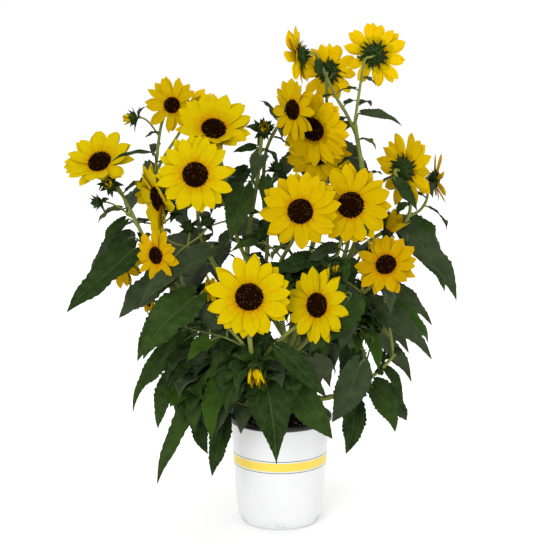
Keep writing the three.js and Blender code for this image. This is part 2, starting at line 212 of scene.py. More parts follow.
class Tint(Enum):
    """The finishes of everything but the leaves' upper sides."""

    LEAF_UNDER = LeafFinish("leaf_under", (0.05, 0.068, 0.03), (0.068, 0.088, 0.043), 0.75, 0.03,
                            grain_depth=0.3, specular=0.08)
    VEIN = Finish("leaf_vein", (0.034, 0.062, 0.013), (0.05, 0.08, 0.02), grain_depth=0.2, specular=0.06)
    STEM = StemFinish("stem_green", (0.145, 0.18, 0.026), (0.21, 0.23, 0.045))
    STEM_OLD = StemFinish("stem_old", (0.135, 0.135, 0.045), (0.17, 0.155, 0.065), 0.65, 0.02,
                          grain_depth=0.5)
    LEAF_STALK = StemFinish("leaf_stalk", (0.07, 0.1, 0.02), (0.11, 0.14, 0.032),
                            grain_depth=0.3, specular=0.1)
    LEMON = PetalFinish("petal_lemon", (0.42, 0.305, 0.0003), (0.46, 0.34, 0.0005))
    SUN = PetalFinish("petal_sun", (0.41, 0.268, 0.0003), (0.45, 0.3, 0.0005))
    HONEY = PetalFinish("petal_honey", (0.4, 0.237, 0.0004), (0.43, 0.265, 0.0006))
    GOLD = PetalFinish("petal_gold", (0.4, 0.165, 0.0006), (0.43, 0.21, 0.001), cloud_size=0.008)
    # A brighter copy of the petal yellow: painted light, making up for the shade that neighbouring heads
    # cast on the heads that wear it.
    PALE = PetalFinish("petal_pale_painted_lit", (0.6, 0.38, 0.0006), (0.64, 0.425, 0.001))
    DISC = FineFinish("disc_dark", (0.006, 0.0016, 0.0004), (0.015, 0.0048, 0.0008), 0.8, specular=0.01)
    ANTHER = FineFinish("disc_anther", (0.08, 0.03, 0.004), (0.17, 0.075, 0.01), 0.7, specular=0.05)
    BRACT = FineFinish("bract_green", (0.007, 0.019, 0.003), (0.026, 0.048, 0.009), 0.65,
                       grain_depth=0.4, specular=0.06)
    CUP = FineFinish("cup_green", (0.014, 0.03, 0.006), (0.028, 0.05, 0.01), 0.65, 0.008, specular=0.06)
    POT_WHITE = Finish("pot_white", (0.67, 0.674, 0.676), (0.69, 0.694, 0.694), 0.34, 0.08, 0.0008, 0.03)
    POT_BLACK = Finish("pot_black", (0.006, 0.006, 0.007), (0.011, 0.011, 0.012), 0.3, 0.03, 0.0008, 0.08)
    BAND_YELLOW = Finish("band_yellow", (0.76, 0.55, 0.05), (0.79, 0.59, 0.07), 0.36, 0.05, 0.0008, 0.03)
    BAND_GREEN = Finish("band_green", (0.01, 0.11, 0.06), (0.015, 0.13, 0.075), 0.36, 0.05, 0.0008, 0.03)
    MIX = FineFinish("mix_dark", (0.002, 0.0015, 0.001), (0.006, 0.004, 0.003), 0.95, 0.008, 0.0015, 0.9)
    BARK = FineFinish("mix_bark", (0.008, 0.0045, 0.003), (0.02, 0.012, 0.007), 0.9, 0.006,
                      grain_depth=0.6)
    PERLITE = FineFinish("mix_perlite", (0.12, 0.115, 0.1), (0.2, 0.19, 0.17), grain_depth=0.4)
    FLOOR = Finish("floor_pale", (0.965, 0.965, 0.965), (0.98, 0.98, 0.98), 0.9, 0.6, 0.01, 0.02)


# ------------------------------------------------------------------ mesh gathering


@dataclass
class Sheaf:
    """Points and faces gathered for one joined piece, with the finish of each face."""

    name: str
    finishes: tuple[Finish, ...]
    points: list[np.ndarray] = field(default_factory=list)
    faces: list[np.ndarray] = field(default_factory=list)
    tones: list[np.ndarray] = field(default_factory=list)
    count: int = 0

    def add(self, points: np.ndarray, faces: np.ndarray, tone: int | np.ndarray = 0) -> None:
        """Put in one patch.

        Args:
            points: The patch's points, n by 3.
            faces: Its faces as rows of 3 or 4 point numbers.
            tone: The finish of every face, or one for each face.
        """
        self.points.append(points)
        self.faces.append(faces + self.count)
        self.tones.append(np.broadcast_to(np.asarray(tone, np.int32), (len(faces),)))
        self.count += len(points)

    def piece(self, slot: str, nodes: Iterable[str] = ()) -> None:
        """Make the mesh, ride it on the plant and say what it stands for.

        Args:
            slot: Not used.
            nodes: The CAD nodes that it replaces.
        """
        mesh = bpy.data.meshes.new(self.name)
        corners = np.concatenate([block.ravel() for block in self.faces])
        sizes = np.concatenate([np.full(len(block), block.shape[1]) for block in self.faces])
        starts = np.concatenate(([0], np.cumsum(sizes)[:-1]))
        mesh.vertices.add(self.count)
        mesh.vertices.foreach_set("co", np.concatenate(self.points).astype(np.float32).ravel())
        mesh.loops.add(len(corners))
        mesh.loops.foreach_set("vertex_index", corners.astype(np.int32))
        mesh.polygons.add(len(sizes))
        mesh.polygons.foreach_set("loop_start", starts.astype(np.int32))
        mesh.polygons.foreach_set("use_smooth", np.ones(len(sizes), bool))
        mesh.polygons.foreach_set("material_index", np.concatenate(self.tones))
        for finish in self.finishes:
            mesh.materials.append(finish.material())
        mesh.update(calc_edges=True)
        mesh.validate()
        made = bpy.data.objects.new(self.name, mesh)
        bpy.context.scene.collection.objects.link(made)
        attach(made, BODY)
        nodes = tuple(nodes)
        if nodes:
            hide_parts(*nodes)
        LOG.info("%s: %d triangles, stands for %d nodes", self.name, int((sizes - 2).sum()), len(nodes))


def grid_faces(rows: int, columns: int, closed: bool = False, flip: bool = False) -> np.ndarray:
    """Quads over a grid of points that are stored row by row.

    Args:
        rows: How many rows of points.
        columns: How many points to a row.
        closed: Whether each row joins up into a ring.
        flip: Whether the faces turn the other way.

    Returns:
        The quads, n by 4.
    """
    across = columns if closed else columns - 1
    r, c = np.meshgrid(np.arange(rows - 1), np.arange(across), indexing="ij")
    after = (c + 1) % columns
    quads = np.stack([r * columns + c, r * columns + after,
                      (r + 1) * columns + after, (r + 1) * columns + c], -1).reshape(-1, 4)
    return quads[:, ::-1] if flip else quads


def unit(vectors: np.ndarray) -> np.ndarray:
    """Vectors scaled to length one."""
    length = np.linalg.norm(vectors, axis=-1, keepdims=True)
    return vectors / np.maximum(length, 1e-12)


def smooth_path(points: Sequence[Point], stations: int) -> np.ndarray:
    """A curve through the points, with even steps along it.

    Args:
        points: The points that it passes through.
        stations: How many points come back.

    Returns:
        The points along the curve.
    """
    given = np.asarray(points, float)
    fence = np.vstack([2 * given[0] - given[1], given, 2 * given[-1] - given[-2]])
    knots = np.concatenate(([0.0], np.cumsum(np.linalg.norm(np.diff(fence, axis=0), axis=1) ** 0.5)))
    fine = []
    for i in range(1, len(fence) - 2):
        a, b, c, d = fence[i - 1:i + 3]
        ta, tb, tc, td = knots[i - 1:i + 3]
        t = np.linspace(tb, tc, 24, endpoint=False)[:, None]
        ab = (tb - t) / (tb - ta) * a + (t - ta) / (tb - ta) * b
        bc = (tc - t) / (tc - tb) * b + (t - tb) / (tc - tb) * c
        cd = (td - t) / (td - tc) * c + (t - tc) / (td - tc) * d
        abc = (tc - t) / (tc - ta) * ab + (t - ta) / (tc - ta) * bc
        bcd = (td - t) / (td - tb) * bc + (t - tb) / (td - tb) * cd
        fine.append((tc - t) / (tc - tb) * abc + (t - tb) / (tc - tb) * bcd)
    fine.append(given[-1:])
    curve = np.vstack(fine)
    walked = np.concatenate(([0.0], np.cumsum(np.linalg.norm(np.diff(curve, axis=0), axis=1))))
    wanted = np.linspace(0.0, walked[-1], stations)
    return np.stack([np.interp(wanted, walked, curve[:, k]) for k in range(3)], -1)


def path_frames(path: np.ndarray) -> tuple[np.ndarray, np.ndarray, np.ndarray]:
    """The direction along a path at each point, and two sides carried along it without twisting.

    Args:
        path: The points along it.

    Returns:
        The directions, the first sides and the second sides.
    """
    along = unit(np.gradient(path, axis=0))
    side = np.zeros_like(path)
    last = np.array((0.0, 1.0, 0.0)) if abs(along[0][1]) < 0.9 else np.array((1.0, 0.0, 0.0))
    for i, direction in enumerate(along):
        last = unit(last - last.dot(direction) * direction)
        side[i] = last
    return along, side, np.cross(along, side)


def tube(path: np.ndarray, radii: np.ndarray, sides: int, ribs: int = 0, rib_depth: float = 0.0,
         lumps: np.ndarray | None = None) -> Patch:
    """A round stalk along a path, with ribs down its length and open ends that lie in what it joins.

    Args:
        path: The points along its middle.
        radii: Its radius at each point.
        sides: Points round it.
        ribs: How many ribs run down it.
        rib_depth: Their height as a share of the radius.
        lumps: A further share of the radius at each point and side.

    Returns:
        Its points and its faces.
    """
    _, side, over = path_frames(path)
    angle = np.arange(sides) * 2 * math.pi / sides
    scale = 1 + rib_depth * np.cos(ribs * angle)[None, :]
    if lumps is not None:
        scale = scale + lumps
    reach = radii[:, None] * scale
    rings = (path[:, None] + (reach * np.cos(angle))[..., None] * side[:, None]
             + (reach * np.sin(angle))[..., None] * over[:, None])
    return rings.reshape(-1, 3), grid_faces(len(path), sides, closed=True)


# ------------------------------------------------------------------ shapes that repeat


def mm(values: Iterable) -> np.ndarray:
    """Millimetres as metres."""
    return np.asarray(values, float) * MM


@dataclass(frozen=True)
class Axes:
    """A place with three directions at right angles: two across, and the way it faces."""

    at: np.ndarray
    across: np.ndarray
    over: np.ndarray
    out: np.ndarray

    @classmethod
    def facing(cls, at: np.ndarray, out: np.ndarray) -> "Axes":
        """Axes at a place, with `over` as near upright as it can be.

        Args:
            at: The place.
            out: The way it faces.

        Returns:
            The axes.
        """
        out = unit(np.asarray(out, float))
        hint = UP if abs(out[2]) < 0.95 else np.array((0.0, 1.0, 0.0))
        across = unit(np.cross(hint, out))
        return cls(np.asarray(at, float), across, np.cross(out, across), out)


@dataclass(frozen=True)
class Tongue:
    """A petal, bract or scale: a thin blade that springs from a head and runs outwards.

    Lengths are in metres and angles in radians. `pitch` lifts it off the head's plane at its foot and
    `bend` adds to that on the way to its tip.
    """

    length: float
    width: float
    pitch: float = 0.1
    bend: float = 0.0
    cup: float = 0.2
    groove: float = 0.0
    roll: float = 0.0
    sway: float = 0.0
    foot: float = 0.42
    widest: float = 0.5
    point: float = 2.4
    rows: int = 11
    columns: int = 8

    def mesh(self, axes: Axes, azimuth: float, radius: float, height: float) -> Patch:
        """Lay the blade out.

        Args:
            axes: The head's axes.
            azimuth: Where round the head it springs, in radians.
            radius: How far from the head's middle it springs.
            height: How far in front of the head's plane it springs.

        Returns:
            Its points and its faces.
        """
        t = np.linspace(0, 1, self.rows + 1)
        s = np.linspace(-1, 1, self.columns + 1)
        rise = 1 - (1 - self.foot) * (1 - np.clip(t / self.widest, 0, 1)) ** 2
        fall = 1 - np.clip((t - self.widest) / (1 - self.widest), 0, 1) ** self.point
        half = self.width / 2 * rise * np.maximum(fall, 0.02)
        tilt = self.pitch + self.bend * t
        step = np.diff(t, prepend=0.0) * self.length
        out = radius + np.cumsum(np.cos(tilt) * step)
        up = height + np.cumsum(np.sin(tilt) * step)
        spread = half[:, None] * s[None, :]
        folds = np.exp(-(((np.abs(s) - 0.42) / 0.16) ** 2)) - 0.6 * np.exp(-((s / 0.14) ** 2))
        lift = (self.cup * half[:, None] * s[None, :] ** 2 + np.sin(self.roll) * spread
                - self.groove * half[:, None] * folds[None, :])
        aside = spread * np.cos(self.roll) + (self.sway * self.length * t ** 2)[:, None]
        forth = axes.across * math.cos(azimuth) + axes.over * math.sin(azimuth)
        beside = -axes.across * math.sin(azimuth) + axes.over * math.cos(azimuth)
        normal_out = out[:, None] - np.sin(tilt)[:, None] * lift
        normal_up = up[:, None] + np.cos(tilt)[:, None] * lift
        points = (axes.at + normal_out[..., None] * forth + aside[..., None] * beside
                  + normal_up[..., None] * axes.out)
        return points.reshape(-1, 3), grid_faces(self.rows + 1, self.columns + 1, flip=True)


def lathe(axes: Axes, profile: np.ndarray, sides: int) -> Patch:
    """A profile turned round the way that some axes face.

    Args:
        axes: The axes.
        profile: Rows of radius and height.
        sides: Points round it.

    Returns:
        Its points and its faces.
    """
    angle = np.arange(sides) * 2 * math.pi / sides
    ring = np.cos(angle)[:, None] * axes.across + np.sin(angle)[:, None] * axes.over
    points = axes.at + profile[:, 0, None, None] * ring + profile[:, 1, None, None] * axes.out
    return points.reshape(-1, 3), grid_faces(len(profile), sides, closed=True)


def node_solid(name: str) -> Patch:
    """The surface of a CAD node.

    Args:
        name: The node.

    Returns:
        Its separate corners, and its triangles as numbers of corners.
    """
    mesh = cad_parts[name].data
    flat = np.empty(len(mesh.vertices) * 3)
    mesh.vertices.foreach_get("co", flat)
    points, welded = np.unique(flat.reshape(-1, 3).round(6), axis=0, return_inverse=True)
    mesh.calc_loop_triangles()
    corners = np.empty(len(mesh.loop_triangles) * 3, np.int32)
    mesh.loop_triangles.foreach_get("vertices", corners)
    return points, welded.ravel()[corners].reshape(-1, 3)


# ------------------------------------------------------------------ stems


@dataclass(frozen=True)
class Limb:
    """A stem's route in millimetres, its first and last radius, and the head that it bears."""

    through: tuple[Point, ...]
    radii: tuple[float, float]
    bears: str = ""


LIMBS: dict[str, Limb] = {
    "main_stem": Limb(((0, 0, 150), (0, 0, 172), (3, 0, 215), (10, 4, 305)), (9, 7)),
    "bough_tall_right": Limb(
        ((12, 4, 298), (60, -4, 360), (110, -10, 435), (130, -3, 525), (115, 0, 640)), (5, 3.2)),
    "bough_top_right": Limb(
        ((114.8, 0, 639.2), (121, -3, 685), (127, -9, 728), (131, -12, 741)), (2.3, 1.6), "top_right"),
    "bough_top_left": Limb(
        ((117, 0, 622), (103, 0, 652), (86, 0, 680), (60, -8, 735)), (2.6, 2), "side_left"),
    "bough_centre": Limb(
        ((9, 4, 298), (-25, -8, 360), (-50, -18, 430), (-35, -20, 555), (-28, -12, 622)), (4.6, 2.6)),
    "bough_centre_rear": Limb(
        ((-30, -8, 372), (-20, 10, 440), (-25, 10, 515), (-20, 8, 600), (22, -36, 668)), (3.2, 2.2),
        "tall_small"),
    "bough_tall_centre": Limb(
        ((13, 6, 292), (40, 30, 400), (65, 60, 490), (75, 65, 560), (74, 40, 625)), (4.2, 2.4),
        "tall_large"),
    "bough_upper_front": Limb(
        ((10, 2, 284), (0, -35, 360), (0, -65, 430), (20, -105, 480)), (4, 2.4), "upper_front"),
    "bough_upper_front_right": Limb(
        ((12, 1, 274), (45, -45, 375), (85, -80, 445)), (4, 2.4), "upper_front_right"),
    "bough_front": Limb(
        ((3, 0, 212), (-8, -60, 240), (-25, -130, 272), (-38, -178, 300), (-45, -196, 350)), (5, 3),
        "low_left"),
    "bough_low_right": Limb(((-36, -174, 298), (5, -175, 345)), (3.2, 2.2), "low_right"),
    "bough_left": Limb(
        ((5, 0, 250), (-60, -35, 315), (-145, -60, 375), (-178, -60, 408), (-215, -40, 480),
         (-250, -25, 545)), (5, 2.4), "left_crown"),
    "bough_left_inner": Limb(
        ((-160, -60, 390), (-193, -22, 460), (-195, -10, 525), (-190, -6, 585), (-180, 4, 645)),
        (3.4, 2), "left_top"),
    "bough_upper_left": Limb(
        ((-42, -15, 405), (-65, -20, 460), (-80, -40, 530), (-90, -50, 590)), (3.2, 2.2), "upper_left"),
    "bough_right": Limb(
        ((108, -10, 430), (150, 0, 462), (195, 15, 482), (203, 14, 508), (186, 4, 545)), (3.4, 2.4),
        "right_turned"),
    "bough_right_edge": Limb(((198, 14, 490), (222, 34, 499), (232, 42, 520)), (2.4, 1.8), "right_edge"),
    "bough_right_middle": Limb(
        ((10, 2, 262), (60, -25, 320), (115, -55, 372), (150, -72, 408)), (4, 2.4), "right_middle"),
    "bough_lower_right": Limb(
        ((2, 0, 190), (50, -30, 205), (105, -60, 228), (150, -60, 258), (182, -55, 290)), (5, 2.2)),
    "bough_rear_left": Limb(
        ((4, 2, 236), (-40, 50, 300), (-90, 90, 370), (-130, 112, 450)), (5, 2.6), "rear_left"),
    "bough_rear_right": Limb(
        ((8, 4, 250), (45, 50, 320), (90, 90, 380), (110, 118, 430)), (5, 2.6), "rear_right"),
}


@dataclass
class Skeleton:
    """Every stem's middle line with its radius, so that whatever grows can find what carries it."""

    points: list[np.ndarray] = field(default_factory=list)
    radii: list[np.ndarray] = field(default_factory=list)

    def learn(self, path: np.ndarray, radii: np.ndarray) -> None:
        """Add a stem."""
        self.points.append(path)
        self.radii.append(radii)

    def carrier(self, target: np.ndarray, drop: float = 0.02) -> tuple[np.ndarray, float]:
        """The place on the stems that best carries something.

        Args:
            target: Where it is.
            drop: How far below it the place would best be.

        Returns:
            The place and the stem's radius there.
        """
        points = np.concatenate(self.points)
        radii = np.concatenate(self.radii)
        gap = points - target
        above = np.maximum(gap[:, 2] + drop, 0.0)
        cost = np.linalg.norm(gap, axis=1) + 1.5 * above
        best = int(np.argmin(cost))
        return points[best], float(radii[best])


@dataclass
class Stems:
    """The ribbed, downy stems: the main stem and the boughs.

    `rib_depth` and `knuckle` are shares of the radius, `knuckle_gap` is in steps along the stem, and
    `worn` is the share of the faces that have the older finish.
    """

    skeleton: Skeleton
    heads: dict[str, "Head"]
    step: float = 0.004
    sides: int = 14
    ribs: int = 7
    rib_depth: float = 0.06
    knuckle: float = 0.14
    knuckle_gap: int = 14
    worn: float = 0.12
    hairs_per_step: float = 2.5
    hair_length: tuple[float, float] = (0.0006, 0.0014)
    hair_half: float = 0.00009
    seed: int = 11

    def build(self) -> None:
        """Make the main stem, the boughs and the hairs."""
        rng = np.random.default_rng(self.seed)
        main = Sheaf("main_stem_bark", (Tint.STEM.value, Tint.STEM_OLD.value))
        boughs = Sheaf("bough_stems", (Tint.STEM.value, Tint.STEM_OLD.value))
        hairs = Sheaf("stem_down", (Tint.LEAF_UNDER.value,))
        for name, limb in LIMBS.items():
            path, radii = self.route(limb)
            self.skeleton.learn(path, radii)
            self.grow(main if name == "main_stem" else boughs, path, radii, rng)
            self.hairs(hairs, path, radii, rng)
        main.piece("stem", ["main_stem"])
        boughs.piece("stem", [name for name in LIMBS if name != "main_stem"])
        hairs.piece("stem")

    def route(self, limb: Limb) -> tuple[np.ndarray, np.ndarray]:
        """Lead a limb up to the head that it bears.

        Args:
            limb: The limb.

        Returns:
            Its middle line, and its radius at each point.
        """
        points = [mm(point) for point in limb.through]
        if limb.bears:
            head = self.heads[limb.bears]
            points += [head.seat(0.022), head.foot]
        rough = smooth_path(points, 80)
        length = float(np.linalg.norm(np.diff(rough, axis=0), axis=1).sum())
        path = smooth_path(points, max(int(length / self.step), 6))
        share = np.linspace(0, 1, len(path))
        first, last = mm(limb.radii)
        radii = first + (last - first) * share
        if limb.bears:
            radii = radii * (1 + 0.3 * np.clip((share - 0.96) / 0.04, 0, 1))
        return path, radii

    def grow(self, sheaf: Sheaf, path: np.ndarray, radii: np.ndarray, rng: np.random.Generator) -> None:
        """Lay one ribbed, knuckled stem.

        Args:
            sheaf: Where it goes.
            path: Its middle line.
            radii: Its radius at each point.
            rng: The source of its irregularity.
        """
        lumps = rng.normal(0, 0.02, (len(path), self.sides))
        knuckle = np.zeros(len(path))
        for place in np.arange(rng.integers(6, self.knuckle_gap), len(path), self.knuckle_gap):
            knuckle += self.knuckle * np.exp(-(((np.arange(len(path)) - place) / 1.2) ** 2))
        points, faces = tube(path, radii * (1 + knuckle), self.sides, self.ribs, self.rib_depth, lumps)
        # Two more rows are drawn than there are rows of faces; the hairs' draws follow on from them.
        worn = rng.random((len(path) + 1, self.sides))[:-2].ravel() < self.worn
        sheaf.add(points, faces, worn.astype(np.int32))

    def hairs(self, sheaf: Sheaf, path: np.ndarray, radii: np.ndarray, rng: np.random.Generator) -> None:
        """Stand short stiff hairs on a stem.

        Args:
            sheaf: Where they go.
            path: The stem's middle line.
            radii: Its radius at each point.
            rng: The source of their places.
        """
        along, side, over = path_frames(path)
        count = int(len(path) * self.hairs_per_step)
        spot = rng.integers(0, len(path), count)
        turn = rng.random(count) * 2 * math.pi
        out = np.cos(turn)[:, None] * side[spot] + np.sin(turn)[:, None] * over[spot]
        foot = path[spot] + out * radii[spot, None] * 0.95 + along[spot] * rng.normal(0, 0.0015, (count, 1))
        reach = rng.uniform(*self.hair_length, (count, 1))
        tip = foot + out * reach + along[spot] * reach * 0.4
        edge = np.cross(out, along[spot]) * self.hair_half
        points = np.stack([foot - edge, foot + edge, tip], 1).reshape(-1, 3)
        sheaf.add(points, np.arange(count * 3).reshape(-1, 3))


@dataclass
class HeadStalks:
    """The stalks of the heads that no bough ends in."""

    skeleton: Skeleton
    heads: list["Head"]
    thickest: float = 0.0026
    thinnest: float = 0.0021

    def build(self) -> None:
        """Run a stalk to each head from the stem that best carries it."""
        stalks = Sheaf("head_stalks", (Tint.STEM.value,))
        for head in self.heads:
            start, radius = self.skeleton.carrier(head.foot, 0.09)
            path = bent_path(start, head.foot, head.out, 0.3)
            radii = np.linspace(min(radius, self.thickest), self.thinnest, len(path))
            stalks.add(*tube(path, radii, sides=10, ribs=5, rib_depth=0.06))
            self.skeleton.learn(path, radii)
        stalks.piece("stem")


# ------------------------------------------------------------------ flower heads


class Glow(Enum):
    """How yellow or orange a head's petals are: the finishes from foot to tip, by number."""

    LEMON = (0, 1, 2, 3)
    GOLDEN = (0, 1, 2, 2)
    # A deeper orange for the petals of heads in shade: painted shade.
    AMBER = (0, 0, 1, 1)
    # Its tips take the brightened petal finish, which is painted light.
    BUTTER = (0, 2, 3, 4)
    # Ends in the brightened petal finish: painted light against the shade of neighbouring heads.
    PALE = (0, 2, 4, 4)


@dataclass(frozen=True)
class BloomPlan:
    """How a head's petals grow.

    `flop` is how far the lowest petals curl up over the disc.
    """

    whorls: tuple[int, ...] = (11, 11)
    width: float = 0.5
    pitch: float = 0.1
    bend: float = -0.15
    ragged: float = 0.05
    point: float = 2.1
    cup: float = 0.05
    disc: float = 0.33
    flop: float = 0.0


class Bloom(Enum):
    """The kinds of head on the plant."""

    BROAD = BloomPlan((11, 10), 0.46, ragged=0.07, point=1.9)
    FULL = BloomPlan((13, 12), 0.47, 0.08, -0.13, 0.05)
    LOOSE = BloomPlan((9, 8), 0.48, 0.08, -0.12, 0.07, 1.9, 0.1, 0.31)
    SIDE = BloomPlan((9, 9), 0.56, 0.3, -0.2, 0.14)
    BACK = BloomPlan((11, 10), 0.45, 0.06, -0.1, 0.06, 1.9, 0.06, 0.33)
    AWAY = BloomPlan((10, 9), 0.5, 0.1, -0.1, 0.08, 2.0)
    SWEPT = BloomPlan((9, 8), 0.54, 0.26, -0.3, 0.13, 1.9, 0.1, 0.3)
    CUPPED = BloomPlan((11, 10), 0.52, 0.5, -0.2, 0.06, flop=0.42)
    NODDING = BloomPlan((11, 10), 0.5, 0.42, -0.2, 0.06, flop=0.3)
    WITHERED = BloomPlan((8, 7), 0.4, 0.1, 0.1, 0.16, 1.5, 0.3)
    HALF_OPEN = BloomPlan((6, 5), 0.4, 1.0, -0.3, 0.14, 1.7, 0.1, 0.25)
    CLOSED = BloomPlan((5, 5), 0.42, 1.3, -0.1, 0.1, 1.8, 0.2, 0.22)


@dataclass
class Head:
    """One flower head: where it is, which way it faces, how far it reaches, and its kind.

    `spread` is how far the petals outgrow the reach.
    """

    RIM_CORNERS: ClassVar[int] = 12

    name: str
    at: np.ndarray
    out: np.ndarray
    reach: float
    bloom: Bloom = Bloom.BROAD
    glow: Glow = Glow.LEMON
    spread: float = 1.0

    @property
    def cup_depth(self) -> float:
        """How deep the green cup behind the petals is."""
        return 0.24 * self.reach

    @property
    def foot(self) -> np.ndarray:
        """Where its stalk ends, inside the cup."""
        return self.seat(self.cup_depth * 0.85)

    def seat(self, depth: float) -> np.ndarray:
        """The point a depth behind the face."""
        return self.at - self.out * depth

    @classmethod
    def from_node(cls, name: str, bloom: Bloom, glow: Glow, spread: float = 1.0,
                  face: tuple[float, float] | None = None) -> "Head":
        """Read a head from its CAD node: a shallow dish with its deeper boss behind.

        Args:
            name: The head's name, without the node's prefix.
            bloom: Its kind.
            glow: Its petals' colouring.
            spread: How far its petals outgrow the node.
            face: The bearing and lift it faces, where it isn't quite as its node.

        Returns:
            The head.
        """
        corners, _ = node_solid(f"head_{name}")
        away = np.linalg.norm(corners - corners.mean(0), axis=1)
        rim = corners[np.argsort(away)[-cls.RIM_CORNERS:]]
        middle = rim.mean(0)
        out = np.linalg.svd(rim - middle)[2][2]
        depth = (corners - middle) @ out
        if -depth.min() < depth.max():
            out = -out
        if face:
            out = compass(*face)
        reach = float(np.linalg.norm(rim - middle, axis=1).mean())
        return cls(name, middle, out, reach, bloom, glow, spread)


# Each head's kind and colouring, how far its petals outgrow its node, and where it faces if not as its node.
HEAD_KINDS: dict[str, tuple] = {
    "side_left": (Bloom.SWEPT, Glow.BUTTER, 1.04, (-104, -14)),
    "top_middle": (Bloom.BACK, Glow.PALE),
    "top_right": (Bloom.BACK, Glow.BUTTER, 1.05),
    "tall_small": (Bloom.BROAD, Glow.GOLDEN),
    "tall_large": (Bloom.FULL, Glow.PALE, 1.07),
    "tall_lower": (Bloom.FULL, Glow.PALE, 1.0),
    "upper_front": (Bloom.FULL, Glow.GOLDEN, 1.03),
    "upper_front_right": (Bloom.FULL, Glow.GOLDEN),
    "right_turned": (Bloom.AWAY, Glow.PALE, 1.08),
    "right_edge": (Bloom.WITHERED, Glow.GOLDEN, 1.25),
    "right_middle": (Bloom.BROAD, Glow.AMBER),
    "low_right": (Bloom.FULL, Glow.LEMON),
    "low_left": (Bloom.FULL, Glow.LEMON),
    "middle_left": (Bloom.FULL, Glow.LEMON),
    "upper_left": (Bloom.CUPPED, Glow.LEMON, 1.05),
    "left_top": (Bloom.LOOSE, Glow.GOLDEN, 1.14),
    "left_crown": (Bloom.NODDING, Glow.LEMON),
    "left_side": (Bloom.SIDE, Glow.LEMON, 1.08),
    "left_low": (Bloom.BROAD, Glow.AMBER),
    "rear_left": (Bloom.FULL, Glow.LEMON),
    "rear_top": (Bloom.BROAD, Glow.LEMON),
    "rear_right": (Bloom.FULL, Glow.LEMON),
    "rear_side": (Bloom.CUPPED, Glow.LEMON),
    "rear_low": (Bloom.BROAD, Glow.GOLDEN),
}


def compass(bearing: float, up: float) -> np.ndarray:
    """A direction from its bearing, 0 at the front and positive towards +X, and its lift, in degrees."""
    turn, lift = math.radians(bearing), math.radians(up)
    return np.array((math.cos(lift) * math.sin(turn), -math.cos(lift) * math.cos(turn), math.sin(lift)))


def small_heads() -> list[Head]:
    """The small blooms that open deep among the leaves.

    Returns:
        The heads, which stand for no CAD node.
    """
    rows = [
        ("small_top", (-142, 38, 660), 60, 76, 54, Bloom.HALF_OPEN, Glow.BUTTER),
        ("small_far_left", (-249, 0, 424), -40, 5, 45, Bloom.BROAD, Glow.AMBER),
        ("small_low_left", (-205, -10, 358), -50, 0, 19, Bloom.SIDE, Glow.AMBER),
        ("small_right", (169, -22, 476), 78, 56, 40, Bloom.CLOSED, Glow.GOLDEN),
        ("small_mid_right", (140, -40, 448), 40, 10, 24, Bloom.HALF_OPEN, Glow.GOLDEN),
        ("small_side", (-192, -25, 537), -8, -38, 38, Bloom.SIDE, Glow.LEMON),
        ("small_mid_left", (-106, -120, 404), 60, 15, 24, Bloom.SIDE, Glow.GOLDEN),
        ("small_low_right", (162, -50, 372), 10, -20, 20, Bloom.CLOSED, Glow.GOLDEN),
    ]
    return [Head(name, mm(at), compass(bearing, up), reach * MM, bloom, glow)
            for name, at, bearing, up, reach, bloom, glow in rows]


